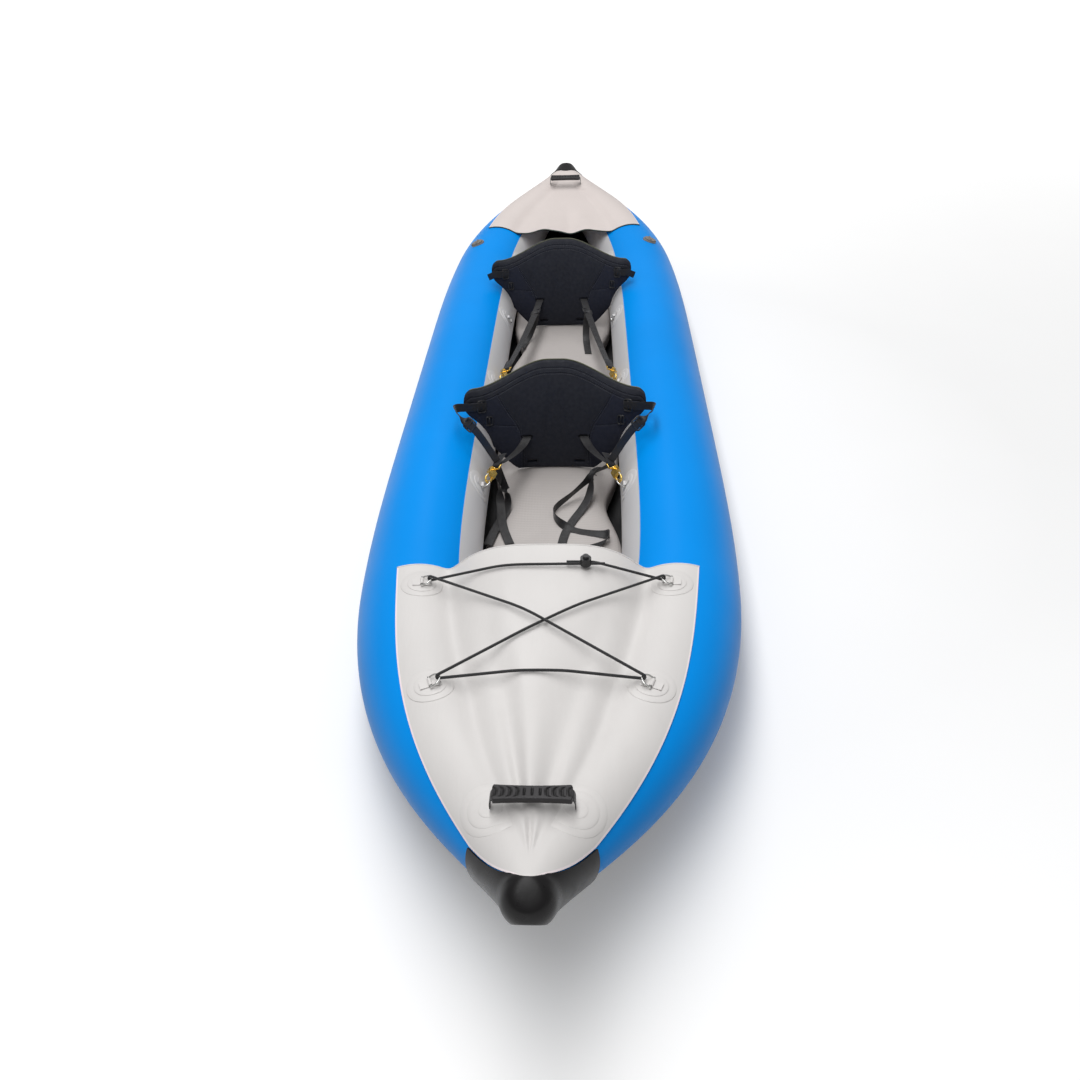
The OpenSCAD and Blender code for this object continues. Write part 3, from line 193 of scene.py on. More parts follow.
def unit(v):
    """Vectors of length one: each divided by its length."""
    return v / np.linalg.norm(v, axis=-1, keepdims=True)


def lerp(a, b, t):
    """Straight mix: a where t is 0, b where t is 1."""
    return a + (b - a) * t


def smooth(low, high, v):
    """Smooth step: 0 below low, 1 above high, three t squared less two t cubed between."""
    t = np.clip((v - low) / (high - low), 0, 1)
    return t * t * (3 - 2 * t)


def bell(v, wide):
    """Bell curve: one over e raised to the square of v over its width."""
    return np.exp(-(v / wide) ** 2)


def power(v, exponent):
    """Power of a value's size, with the value's own sign."""
    return np.sign(v) * np.abs(v) ** exponent


def square_to(v, t):
    """The part of each vector that is square to the direction t, made one long."""
    return unit(v - (v * t).sum(-1, keepdims=True) * t)


def cells(index):
    """Corners of each cell of a grid of vertex numbers, in turning order."""
    return joined(index[:-1, :-1], index[1:, :-1], index[1:, 1:], index[:-1, 1:]).reshape(-1, 4)


def closed(values, wrap):
    """A grid with its first row or column repeated at the end where it is wrapped."""
    if wrap[0]:
        values = np.concatenate([values, values[:1]], 0)
    if wrap[1]:
        values = np.concatenate([values, values[:, :1]], 1)
    return values


def measured(points):
    """Texture coordinates in metres: mean lengths summed along the rows and along the columns of a grid."""
    along = np.linalg.norm(np.diff(points, axis=0), axis=-1).mean(1)
    across = np.linalg.norm(np.diff(points, axis=1), axis=-1).mean(0)
    u = np.concatenate([[0], np.cumsum(along)])
    v = np.concatenate([[0], np.cumsum(across)])
    return joined(u[:, None], v[None, :])


class Shape:
    """Gathers grids of points into one mesh with texture coordinates."""

    def __init__(self):
        self.points, self.faces, self.uvs, self.count = [], [], [], 0

    def grid(self, points, uv=None, wrap=(False, False), flip=None):
        """Cells between neighbours of a grid. A grid whose rows are rings is turned to face away from
        their middles."""
        index = self.count + np.arange(points.shape[0] * points.shape[1]).reshape(points.shape[:2])
        self.points.append(points.reshape(-1, 3))
        self.count += index.size
        whole = closed(points, wrap)
        if uv is None:
            uv = measured(whole)
        if flip is None and wrap[1]:
            normal = np.cross(whole[1:, :-1] - whole[:-1, :-1], whole[:-1, 1:] - whole[:-1, :-1])
            outward = whole[:-1, :-1] - points.mean(1, keepdims=True)[: len(normal)]
            flip = (normal * outward).sum() < 0
        corner = cells(closed(index, wrap))
        spots = cells(np.arange(whole.shape[0] * whole.shape[1]).reshape(whole.shape[:2]))
        if flip:
            corner, spots = corner[:, ::-1], spots[:, ::-1]
        self.faces.append(corner)
        self.uvs.append(uv.reshape(-1, 2)[spots])
        return index

    def band(self, a, b):
        """Cells between two equally long rows of vertex numbers."""
        corner = joined(a[1:], a[:-1], b[:-1], b[1:])
        self.faces.append(corner)
        self.uvs.append(np.zeros(corner.shape + (2,)))

    def fan(self, ring, outward):
        """Triangles from a closed ring of vertices to its middle, facing outward."""
        where = np.concatenate(self.points)[ring]
        middle = where.mean(0)
        turn = np.cross(where - middle, np.roll(where, -1, 0) - middle).sum(0)
        self.points.append(middle[None])
        corner = joined(ring, np.roll(ring, -1), self.count)
        self.count += 1
        self.faces.append(corner if turn @ outward > 0 else corner[:, ::-1])
        self.uvs.append(np.zeros(corner.shape + (2,)))

    def slab(self, outer, inner, uv=None):
        """Closed sheet between two grids, with a wall all round its edge."""

        def edge(i):
            """Corners round a grid's rim, in order."""
            return np.concatenate([i[:, 0], i[-1, 1:], i[-2::-1, -1], i[0, -2::-1]])

        normal = np.cross(outer[1:, :-1] - outer[:-1, :-1], outer[:-1, 1:] - outer[:-1, :-1])
        flip = bool((normal * (outer - inner)[:-1, :-1]).sum() < 0)
        top = self.grid(outer, uv, flip=flip)
        low = self.grid(inner, uv, flip=not flip)
        a, b = edge(top), edge(low)
        self.band(*((b, a) if flip else (a, b)))

    def sweep(self, path, sides, normals, profile, ends=True):
        """A closed profile carried along a path. Its first coordinate lies along sides, its second along
        normals."""
        points = path[:, None] + profile[..., :1] * sides[:, None] + profile[..., 1:] * normals[:, None]
        ring = self.grid(points, wrap=(not ends, True))
        if ends:
            self.fan(ring[0], path[0] - path[1])
            self.fan(ring[-1], path[-1] - path[-2])

    def capped(self, points, way):
        """Rings of points, with a fan over the first ring and one over the last, which faces along way."""
        rings = self.grid(points, wrap=(False, True))
        self.fan(rings[0], -way)
        self.fan(rings[-1], way)

    def mirror(self):
        """Adds the mirror image of everything so far."""
        points = np.concatenate(self.points)
        self.points.append(points * MIRROR)
        self.faces += [f[:, ::-1] + self.count for f in list(self.faces)]
        self.uvs += [u[:, ::-1] for u in list(self.uvs)]
        self.count *= 2
        return self

    def parted(self):
        """Leaves out the faces that lie in the middle plane, where two mirrored halves meet."""
        points = np.concatenate(self.points)
        kept = [(np.abs(points[f, 0]) > 0.000001).any(1) for f in self.faces]
        self.faces = [f[k] for f, k in zip(self.faces, kept)]
        self.uvs = [u[k] for u, k in zip(self.uvs, kept)]
        return self

    def moved(self, place):
        """Applies a function of points to every point."""
        self.points = [place(np.concatenate(self.points))]
        return self

    def build(self, name, look, body=None, nodes=(), slot=None, sharp=None, values=None):
        """The mesh object, with its material, the body it rides on and the frame nodes it stands for."""
        mesh = bpy.data.meshes.new(name)
        points = np.concatenate(self.points)
        mesh.from_pydata(points.tolist(), [], [f for part in self.faces for f in part.tolist()])
        spots = np.concatenate([u.reshape(-1, 2) for u in self.uvs]).astype(np.float32)
        mesh.uv_layers.new(name="Metres").data.foreach_set("uv", spots.ravel())
        mesh.polygons.foreach_set("use_smooth", np.ones(len(mesh.polygons), bool))
        if sharp is not None:
            mesh.set_sharp_from_angle(angle=np.radians(sharp))
        for key, data in (values or {}).items():
            layer = mesh.attributes.new(key, "FLOAT", "POINT")
            layer.data.foreach_set("value", np.asarray(data, np.float32).ravel())
        mesh.materials.append(look)
        mesh.update()
        piece = bpy.data.objects.new(name, mesh)
        bpy.context.scene.collection.objects.link(piece)
        if body:
            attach(piece, body)
        if nodes:
            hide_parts(*nodes)
        return piece


def circle(radius, count=12):
    """Profile of a round rod: cosine and sine of equal steps, times its radius."""
    a = np.linspace(0, 2 * np.pi, count, endpoint=False)
    return radius * joined(np.cos(a), np.sin(a))


# Width and thickness of the strap webbing
WEB, WEB_THICK = 0.025, 0.0016


def webbing_profile(width, thick):
    """Profile of flat webbing: a superellipse, full across and with soft round edges."""
    a = np.linspace(0, 2 * np.pi, 28, endpoint=False) + 0.11
    return joined(width / 2 * power(np.cos(a), 0.3), thick / 2 * power(np.sin(a), 0.5))


def curve(points, steps):
    """Smooth line through points: a cubic in each span, whose slope at a point is half the step between
    its neighbours."""
    p = np.asarray(points, float)
    a, b, c, d = np.concatenate([p[:1], p[:-2]]), p[:-1], p[1:], np.concatenate([p[2:], p[-1:]])
    t = (np.arange(steps) / steps)[None, :, None]
    a, b, c, d = (v[:, None] for v in (a, b, c, d))
    second, third = 2 * a - 5 * b + 4 * c - d, 3 * b - a - 3 * c + d
    spans = 0.5 * (2 * b + (c - a) * t + second * t ** 2 + third * t ** 3)
    return np.concatenate([spans.reshape(-1, 3), p[-1:]])


def steps_of(path):
    """Distance from each point of a line to the next."""
    return np.linalg.norm(np.diff(path, axis=0), axis=-1)


def lengths(path):
    """Length along a line up to each of its points: the sum of the steps before it."""
    return np.concatenate([[0], np.cumsum(steps_of(path))])


def sampled(at, run, rows):
    """Rows of three values known at the lengths run, read off between them at the lengths at."""
    return np.stack([np.interp(at, run, rows[:, k]) for k in range(3)], -1)


def evened(path, step):
    """The same line with points at equal distances, from its length summed along it."""
    run = lengths(path)
    at = np.linspace(0, run[-1], max(3, int(round(run[-1] / step)) + 1))
    return sampled(at, run, path)


def calm(rows, times):
    """Rows with each inner one drawn towards the mean of its neighbours, over and over."""
    rows = rows.copy()
    for _ in range(times):
        rows[1:-1] = (rows[:-2] + 2 * rows[1:-1] + rows[2:]) / 4
    return rows


def headings(path):
    """Direction of a line at each point: the difference of its neighbours, made one long."""
    return unit(np.gradient(path, axis=0))


def rod_frames(path):
    """Two cross directions along a line, carried from point to point without twist."""
    t = headings(path)
    first = np.cross(t[0], [0.1, 0.2, 1.0])
    out = []
    for d in t:
        first = first - (first @ d) * d
        first = first / np.linalg.norm(first)
        out.append(first)
    a = np.array(out)
    return a, np.cross(t, a)


def rod(shape, path, radius, count=12, ends=True):
    """Round rod along a line."""
    a, b = rod_frames(path)
    shape.sweep(path, a, b, circle(radius, count), ends)


def webbing(shape, path, sides, width=WEB, thick=WEB_THICK, taper=1.0):
    """Flat webbing along a line. At each point its width lies along the given side, square to the line."""
    t = headings(path)
    side = square_to(sides, t)
    profile = np.repeat(webbing_profile(width, thick)[None], len(path), 0)
    profile[..., 0] *= np.reshape(taper, (-1, 1))
    shape.sweep(path, side, np.cross(side, t), profile)


def ribbon(shape, path, side_a, side_b, share=None, **form):
    """Webbing whose width turns from side_a to side_b, by a smooth step of the share given at each point
    or evenly."""
    if share is None:
        share = np.linspace(0, 1, len(path))
    mix = (share * share * (3 - 2 * share))[:, None]
    webbing(shape, path, lerp(np.asarray(side_a, float), np.asarray(side_b, float), mix), **form)


def stitches(shape, path, normals, pitch=0.0055, long=0.0036, thick=0.0005):
    """A row of thread stitches: short spindles at equal steps along a line, proud of the cloth."""
    run, ahead = lengths(path), 0.001
    at = np.arange(pitch / 2, run[-1], pitch)
    spot = sampled(at, run, path)
    up = unit(sampled(at, run, normals))
    t = unit(sampled(at + ahead, run, path) - sampled(at - ahead, run, path))
    side = np.cross(up, t)
    along = np.linspace(-1, 1, 5)
    girth = np.array([0.25, 0.9, 1.0, 0.9, 0.25])
    a = np.linspace(0, 2 * np.pi, 6, endpoint=False)
    spokes = np.cos(a)[:, None] * side[:, None, None] + np.sin(a)[:, None] * up[:, None, None]
    body = (spot[:, None, None] + along[:, None, None] * long / 2 * t[:, None, None]
            + thick * girth[:, None, None] * spokes)
    rows = body.reshape(-1, 6, 3)
    index = shape.count + np.arange(rows.shape[0] * 6).reshape(len(at), 5, 6)
    shape.points.append(rows.reshape(-1, 3))
    shape.count += index.size
    ring = np.concatenate([index, index[..., :1]], -1)
    near, far = ring[:, :-1], ring[:, 1:]
    corner = joined(near[..., :-1], near[..., 1:], far[..., 1:], far[..., :-1]).reshape(-1, 4)
    caps = np.concatenate([index[:, 0, ::-1], index[:, -1]]).reshape(-1, 6)
    for part in (corner[:, ::-1], caps[:, ::-1]):
        shape.faces.append(part)
        shape.uvs.append(np.zeros(part.shape + (2,)))


# Hull lines

def tube_radius(u):
    """Tube radius at station u: full amidships, then falling to the nose with the square of the way to
    the end."""
    h = hull()
    t = np.clip((np.abs(u) - h.taper_start) / (1 - h.taper_start), 0, 1)
    return lerp(h.tube, h.nose, t * t)


def axis_point(u):
    """Right tube's axis at station u, from -1 at the bow to 1 at the stern: a blunt power curve in plan,
    rising at the ends."""
    h = hull()
    k = np.minimum(np.abs(u), 1)
    x = h.spread * (1 - k ** h.plan_power) ** h.plan_taper
    climb = np.clip((k - h.rise_start) / (1 - h.rise_start), 0, 1) ** h.rise_power
    return joined(x, u * h.end, h.lift + tube_radius(u) + h.rise * climb)


# Step of the station over which slopes are taken
STEP = 0.002


def tube_frame(u):
    """Direction of the axis at u, the level direction across it outwards, and the one square to both,
    upwards."""
    t = unit(axis_point(np.minimum(1, u + STEP)) - axis_point(np.maximum(-1, u - STEP)))
    across = unit(joined(t[..., 1], -t[..., 0], 0 * t[..., 0]))
    return t, across, np.cross(across, t)


def wall(u, a, off=0.0):
    """Point on the right tube, off its wall by off: the angle a runs from level outwards up over the top."""
    u, a, off = np.broadcast_arrays(np.asarray(u, float), np.asarray(a, float), np.asarray(off, float))
    _, across, upward = tube_frame(u)
    r = (tube_radius(u) + off)[..., None]
    return axis_point(u) + r * (np.cos(a)[..., None] * across + np.sin(a)[..., None] * upward)


def wall_frame(u, a, off=0.0):
    """Point on the wall, with the directions along the hull, round the tube and out of the wall."""
    p = wall(u, a, off)
    x = unit(wall(u + STEP, a, off) - wall(u - STEP, a, off))
    z = unit(np.cross(x, wall(u, a + 0.01, off) - wall(u, a - 0.01, off)))
    return p, x, np.cross(z, x), z


def on_wall(u, a, off, local):
    """Bends flat pieces onto the wall: x along the hull, y round the tube, z out of the wall."""
    pace = np.linalg.norm(wall(u + STEP, a, off) - wall(u - STEP, a, off)) / (2 * STEP)
    return wall(u + local[..., 0] / pace, a + local[..., 1] / (tube_radius(u) + off), off + local[..., 2])


def at_wall(u, a, off, local):
    """Sets stiff pieces on the wall, turned to its frame."""
    p, x, y, z = wall_frame(u, a, off)
    return p + local[..., :1] * x + local[..., 1:2] * y + local[..., 2:] * z


def station(y):
    """Station of a distance from amidships: its share of the tubes' half length."""
    return y / hull().end


def nose(u, a, off, reach=None):
    """The wall carried on past the tube's end over a dome: its ring shrinks as an ellipse while its middle
    moves on along the axis by the given reach."""
    u, a = np.broadcast_arrays(np.asarray(u, float), np.asarray(a, float))
    inner = np.minimum(u, 1)
    past = np.clip((u - inner) * hull().end / hull().dome, 0, 1)[..., None]
    middle = axis_point(inner)
    ahead = tube_frame(inner)[0] * MIDDLE * (hull().dome if reach is None else reach)
    return middle + ahead * past + (wall(inner, a, off) - middle) * np.sqrt(1 - past ** 2)


# For each deck: which way it lies, the height and the fullness of its hump, and the station from which
# it leaves the tubes ever closer to their tops
DECKS = {
    "bow": {"sign": -1, "hump": 0.076, "full": 3.5, "leave": 0.8},
    "stern": {"sign": 1, "hump": 0.008, "full": 2.4, "leave": 0.92},
}


def deck_ends(kind):
    """Stations of a deck's free edge and of its tip."""
    h = hull()
    if kind == "bow":
        return station(h.bow_deck), station(h.bow_tip)
    return station(h.stern_deck), station(h.stern_tip)


def edge_angle(u, kind):
    """Angle of a deck's bonded edge: a parabola along the hull, then a full rounded curve to the tip
    inside the cap."""

    def line(v):
        """The parabola, by the station."""
        return np.radians(70 - 84 * (v - 0.7) - 344 * (v - 0.7) ** 2)

    cap = station(hull().cap)
    share = np.clip((u - cap) / (deck_ends(kind)[1] - cap), 0, 1)
    return np.where(u < cap, line(u), np.arccos(np.cos(line(cap)) * np.sqrt(1 - share ** 2.7)))


def leave_angle(u, kind):
    """Angle at which a deck leaves the tube: steady, then easing to the top at the tip."""
    start = DECKS[kind]["leave"]
    return np.radians(lerp(125, 90.5, np.clip((u - start) / (deck_ends(kind)[1] - start), 0, 1)))


def deck_hump(u, s, kind):
    """Share of the way to a deck's tip, and the full hump of its free span, which falls towards the tip."""
    setting = DECKS[kind]
    first, last = deck_ends(kind)
    t = np.clip((u - first) / (last - first), 0, 1)
    high = setting["hump"] * (1 - t) * (1 - smooth(0.78, 0.97, t))
    return t, high * (1 - np.abs(s) ** setting["full"])


# Most that the bow deck's folds rise over its hump
FOLD_ROOM = 0.0075


def deck_height(x, y):
    """Height that clears the bow deck's folds over a point: its free span between the tubes, and the
    tubes' tops outside."""
    u = np.abs(y) / hull().end
    p = wall(u, leave_angle(u, "bow"), hull().deck_off)
    c, r = axis_point(u), tube_radius(u) + hull().deck_off
    s = np.clip(x / p[..., 0], -1, 1)
    t, hump = deck_hump(u, s, "bow")
    span = p[..., 2] + hump + FOLD_ROOM * np.sin(np.pi * t) * (1 - s * s)
    over_tube = c[..., 2] + np.sqrt(np.maximum(0, r * r - (np.abs(x) - c[..., 0]) ** 2))
    return np.where(np.abs(x) < p[..., 0], span, over_tube)


# Bottom skin's inner and outer face off the tubes' walls, the angle at which it leaves them, the gap under
# the floor mat and the mat's thickness
SKIN_IN, SKIN_OUT = 0.0004, 0.0019
SKIN_LEAVES = np.radians(253.125)
MAT_GAP, MAT_THICK = 0.001, 0.09


def floor_height(y):
    """Top of the floor mat: its thickness over the bottom skin, which follows the tubes' undersides."""
    return wall(station(y), SKIN_LEAVES, SKIN_IN)[..., 2] + MAT_GAP + MAT_THICK


# Backrest lines

# Lean of a backrest that is tilted forwards as far as it goes
TILTED = np.radians(-5)


def seat_outline(x):
    """Lower and upper edge of a backrest over x: an arch that eases into level shoulders above, a bowed
    flank below that keeps clear of the tubes, and round corners at the wings."""
    s, k = seats(), np.abs(x)
    e = np.clip(k - s.half + s.corner, 0, s.corner)
    cut = s.corner - np.sqrt(s.corner ** 2 - e ** 2)
    top = s.height - (s.height - s.wing_high) * smooth(s.arch, s.half - s.corner, k) - cut
    flank = s.wing_low * np.clip((k - s.foot) / (s.half - s.foot), 0, 1) ** 1.25
    axis = axis_point(np.array(station(s.rear)))
    rise = (hull().tube + hull().panel_off + s.room) ** 2 - (axis[0] - k) ** 2
    clear = axis[2] + np.sqrt(np.maximum(0, rise)) - s.base + seat_wrap(x) * np.sin(TILTED)
    clear = clear / np.cos(TILTED)
    return np.maximum(flank, np.where(rise > 0, clear, 0)) + 0.8 * cut, top


def seat_wrap(x):
    """How far a backrest comes forwards at x: a parabola."""
    return -seats().wrap * (x / seats().half) ** 2


def pad_front(x, h):
    """Front of a pad: its wrap, with a crown that is full in the middle and fades with the fourth power
    to the edges."""
    s = seats()
    low, top = seat_outline(x)
    t = np.clip((h - low) / (top - low), 0, 1)
    return seat_wrap(x) - s.crown * (1 - (np.abs(x) / s.half) ** 4) * (1 - np.abs(2 * t - 1) ** 4)


def in_seat(which, local):
    """Sets points of a backrest in the hull: turned back by the lean about its foot."""
    s = seats()
    place = s.front if which == "front" else s.rear
    local = np.asarray(local, float)
    x, y, z = local[..., 0], local[..., 1], local[..., 2]
    c, n = np.cos(s.lean), np.sin(s.lean)
    return joined(x, place + y * c + z * n, s.base - y * n + z * c)


def seat_line(points):
    """A line on a pad's front from points across and up it, with the pad's outward directions."""
    flat = evened(curve([[x, 0, h] for x, h in points], 12), 0.002)
    x, h = flat[:, 0], flat[:, 2]
    spot = joined(x, pad_front(x, h), h)
    near = 0.001
    dx = (pad_front(x + near, h) - pad_front(x - near, h)) / (2 * near)
    dh = (pad_front(x, h + near) - pad_front(x, h - near)) / (2 * near)
    return spot, unit(joined(dx, -1, dh))


# Sewn lines of a pad, across and up it: the seam of a wing, the flap below its buckle, and how far the
# two lines of the top band lie below the edge
SEAM = [(0.166, 0.232), (0.152, 0.204), (0.133, 0.171), (0.112, 0.138), (0.101, 0.104), (0.098, 0.06),
        (0.1, 0.004)]
FLAP = [(0.11, 0.118), (0.113, 0.134), (0.16, 0.14), (0.214, 0.146)]
BAND = (0.02, 0.035)


def line_gap(x, h, points):
    """Distance of points from a line of straight spans, mirrored to both sides."""
    p = joined(np.abs(x), h)[..., None, :]
    a, b = np.array(points[:-1]), np.array(points[1:])
    d = b - a
    t = np.clip(((p - a) * d).sum(-1) / (d * d).sum(-1), 0, 1)
    return np.linalg.norm(p - a - t[..., None] * d, axis=-1).min(-1)


def seam_depth(x, h):
    """Depth of the sewn lines in a pad's front: narrow bell curves round each line."""
    _, top = seat_outline(x)
    band = sum(bell(top - h - at, 0.0019) for at in BAND)
    dense = curve([[a, 0, b] for a, b in SEAM], 6)[:, [0, 2]]
    seam = bell(line_gap(x, h, dense), 0.0022)
    flap = bell(line_gap(x, h, FLAP), 0.002)
    return 0.0022 * band + 0.002 * seam + 0.0016 * flap


# Hooks and straps

# Seat rings along the hull and round the tube; for each pair of hooks its ring and its angle of pull; a
# hook's place over the wall and from there to its outer bar
RINGS = (-0.635, -0.008, 0.53, 1.11)
RING_ANGLE = np.radians(155)
HOOK_RING = (0, 1, 1, 3)
HOOK_PULL = np.radians((68, -78, 78, -78))
HOOK_LIFT, HOOK_REACH = 0.01428, 0.079


def hook(i):
    """Direction, bar direction and outer bar of a right-hand hook: it pulls out of its ring at its own
    angle."""
    p, x, _, z = wall_frame(station(RINGS[HOOK_RING[i]]), RING_ANGLE, hull().panel_off)
    a = HOOK_PULL[i]
    out, side = np.sin(a) * x + np.cos(a) * z, np.cos(a) * x - np.sin(a) * z
    return out, side, p + HOOK_LIFT * z + HOOK_REACH * out


def round_bar(bar, out, side, radius=0.0033, count=9):
    """Half turn of a strap round a hook's bar, from one face of the strap to the other."""
    n = unit(np.cross(side, out))
    a = np.linspace(-np.pi / 2, np.pi / 2, count)[:, None]
    return bar + radius * (np.sin(a) * n - np.cos(a) * out)


# Large wing buckles' distance from the middle
BUCKLE_X = 0.212


def buckle_place(x=BUCKLE_X, h=None):
    """Middle of a buckle on a wing, and the wing's direction outwards there."""
    h = seats().buckle if h is None else h
    near = 0.005
    slope = (seat_wrap(x + near) - seat_wrap(x - near)) / (2 * near)
    d = unit(np.array([1.0, slope, 0.0]))
    n = np.array([d[1], -d[0], 0.0])
    y = min(float(pad_front(np.array(x), np.array(h + e))) for e in (-0.014, 0, 0.014))
    return np.array([x, y - 0.0025, h]) + n * 0.0025, d


# Materials

# Scale at which a wave texture repeats once a metre
WAVE_SCALE = 0.31416


class Look:
    """A node material with short ways to add noises, waves, ramps and bumps."""

    def __init__(self, name):
        self.material = bpy.data.materials.new(name)
        self.material.use_nodes = True
        self.tree = self.material.node_tree
        self.tree.nodes.clear()
        self.shader = self.tree.nodes.new("ShaderNodeBsdfPrincipled")
        output = self.tree.nodes.new("ShaderNodeOutputMaterial")
        self.tree.links.new(self.shader.outputs[0], output.inputs[0])
        space = self.tree.nodes.new("ShaderNodeTexCoord")
        self.space, self.uv = space.outputs["Object"], space.outputs["UV"]

    def feed(self, socket, value):
        """Links another socket, or sets a plain value."""
        if isinstance(value, bpy.types.NodeSocket):
            self.tree.links.new(value, socket)
        else:
            socket.default_value = value

    def node(self, kind, values, out=0, **settings):
        node = self.tree.nodes.new(kind)
        for key, value in settings.items():
            setattr(node, key, value)
        for key, value in values.items():
            self.feed(node.inputs[key], value)
        return node.outputs[out]

    def noise(self, scale, detail=3.0, rough=0.5, space=None):
        values = {"Vector": space or self.space, "Scale": scale, "Detail": detail, "Roughness": rough}
        return self.node("ShaderNodeTexNoise", values)

    def wave(self, period, axis="X", space=None, warp=0.0):
        """Even bands, one to each period."""
        values = {"Vector": space or self.space, "Scale": WAVE_SCALE / period, "Distortion": warp}
        return self.node("ShaderNodeTexWave", values, out=1, bands_direction=axis)

    def spots(self, size, space=None):
        """Distance to the nearest of scattered points."""
        return self.node("ShaderNodeTexVoronoi", {"Vector": space or self.space, "Scale": 1 / size})

    def math(self, kind, a, b=0.0):
        return self.node("ShaderNodeMath", {0: a, 1: b}, operation=kind)

    def ramp(self, value, low, high, a=0.0, b=1.0):
        """Straight line from a at low to b at high, level past both."""
        values = {"Value": value, "From Min": low, "From Max": high, "To Min": a, "To Max": b}
        return self.node("ShaderNodeMapRange", values)

    def worn(self, scale, detail, low, high):
        """A value that wanders between two limits over the surface."""
        return self.ramp(self.noise(scale, detail), 0.3, 0.7, low, high)

    def mix(self, share, a, b):
        a, b = (c if isinstance(c, bpy.types.NodeSocket) else (*c[:3], 1.0) for c in (a, b))
        return self.node("ShaderNodeMixRGB", {"Fac": share, "Color1": a, "Color2": b})

    def turned(self, angle, space=None, scale=(1, 1, 1)):
        """Coordinates turned about the z axis."""
        values = {"Vector": space or self.space, "Rotation": (0, 0, angle), "Scale": scale}
        return self.node("ShaderNodeMapping", values)

    def bump(self, height, depth, strength=1.0, normal=None):
        values = {"Strength": strength, "Distance": depth, "Height": height}
        if normal is not None:
            values["Normal"] = normal
        return self.node("ShaderNodeBump", values)

    def finish(self, base, rough, normal=None, **constants):
        """Feeds the shader and gives back the material. Constants are named as the shader's inputs are."""
        self.feed(self.shader.inputs["Base Color"], base)
        self.feed(self.shader.inputs["Roughness"], rough)
        if normal is not None:
            self.feed(self.shader.inputs["Normal"], normal)
        for key, value in constants.items():
            self.shader.inputs[key.replace("_", " ").title().replace("Ior", "IOR")].default_value = value
        return self.material


def tinted(c, share):
    """A colour times a share, no channel over one."""
    return tuple(min(1.0, v * share) for v in c)


def coated(name, c, rough=0.34, shine=0.4, fade=0.03, swell=0.0006):
    """Coated fabric: faint cloth weave under a smooth film, soft dents from the air, slight fading and
    scuffs."""
    k = Look(name)
    tone = k.mix(k.ramp(k.noise(1.7, 4), 0.35, 0.65), tinted(c, 1 - fade), tinted(c, 1 + fade))
    scuff = k.ramp(k.noise(14, 5, 0.6), 0.62, 0.8)
    tone = k.mix(k.math("MULTIPLY", scuff, 0.04), tone, tinted(c, 1.2))
    weave = k.math("ADD", k.wave(0.0016, "Y"), k.wave(0.0016, "DIAGONAL"))
    fine = k.bump(weave, 0.00001, 0.3)
    soft = k.bump(k.noise(3.0, 1), swell, 0.3, fine)
    film = k.worn(6, 3, rough - 0.02, rough + 0.03)
    return k.finish(tone, film, soft, specular_ior_level=shine)


def deck_cloth(name, c, edge):
    """Deck fabric: the coated look, with a paler cut edge a few millimetres wide and faint creases."""
    k = Look(name)
    tone = k.mix(k.ramp(k.noise(2.3, 5), 0.3, 0.7), tinted(c, 0.95), tinted(c, 1.03))
    soil = k.ramp(k.noise(7, 7, 0.65), 0.55, 0.8)
    tone = k.mix(k.math("MULTIPLY", soil, 0.1), tone, tinted(c, 0.72))
    inset = k.node("ShaderNodeSeparateXYZ", {"Vector": k.uv})
    tone = k.mix(k.ramp(inset, 0.0025, 0.0045, 1, 0), tone, edge)
    weave = k.math("ADD", k.wave(0.0014, "X"), k.wave(0.0014, "Y"))
    crease = k.noise(9, 4, 0.6, k.turned(0.0, scale=(2.2, 0.5, 1)))
    normal = k.bump(crease, 0.003, 0.45, k.bump(weave, 0.00005, 0.6))
    return k.finish(tone, k.worn(16, 4, 0.46, 0.6), normal, coat_weight=0.04, coat_roughness=0.4)


def drop_stitch(name, c):
    """Floor fabric: fine cross ribs from the threads inside, a soft sheen, and painted shade in stripes
    along the ribs.
    """
    k = Look(name)
    ribs = k.wave(0.0085, "Y", warp=0.6)
    knots = k.wave(0.0085, "X", warp=0.8)
    tone = k.mix(k.ramp(k.noise(3, 6, 0.6), 0.3, 0.72), tinted(c, 0.9), tinted(c, 1.05))
    # Painted shade: darker along the ribs, following the same waves as the bump.
    tone = k.mix(k.math("MULTIPLY", ribs, 0.4), tone, tinted(c, 0.78))
    height = k.math("ADD", ribs, k.math("MULTIPLY", knots, 0.35))
    normal = k.bump(k.noise(4, 3), 0.004, 0.4, k.bump(height, 0.0004, 0.6))
    return k.finish(tone, k.worn(30, 4, 0.42, 0.6), normal, coat_weight=0.03, coat_roughness=0.4)


def rubber(name, c, rough=0.5, shine=0.3):
    """Moulded rubber: a matt grain, pale dust, rubbed spots and painted shade in the sunk hollows."""
    k = Look(name)
    dust = k.ramp(k.noise(18, 6, 0.65), 0.45, 0.8)
    tone = k.mix(k.math("MULTIPLY", dust, 0.22), c, tinted(c, 2.6))
    # Painted shade: darker where a grip's crescents and ovals are sunk, from the 'sunk' share.
    tone = k.mix(k.node("ShaderNodeAttribute", {}, out=2, attribute_name="sunk"), tone, tinted(c, 0.2))
    grain = k.bump(k.spots(0.0011), 0.00012, 0.5, k.bump(k.noise(60, 4), 0.0004, 0.3))
    return k.finish(tone, k.worn(25, 5, rough - 0.06, rough + 0.1), grain, specular_ior_level=shine)


def plastic(name, c, rough=0.4, grain=0.00008):
    """Moulded plastic: fine spark grain, faint flow streaks and duller worn places."""
    k = Look(name)
    flow = k.noise(40, 5, 0.6, k.turned(0.6, scale=(1, 0.2, 1)))
    tone = k.mix(k.ramp(flow, 0.4, 0.7), tinted(c, 0.9), tinted(c, 1.15))
    normal = k.bump(k.noise(1400, 2), grain, 0.6)
    return k.finish(tone, k.worn(55, 5, rough - 0.07, rough + 0.1), normal)


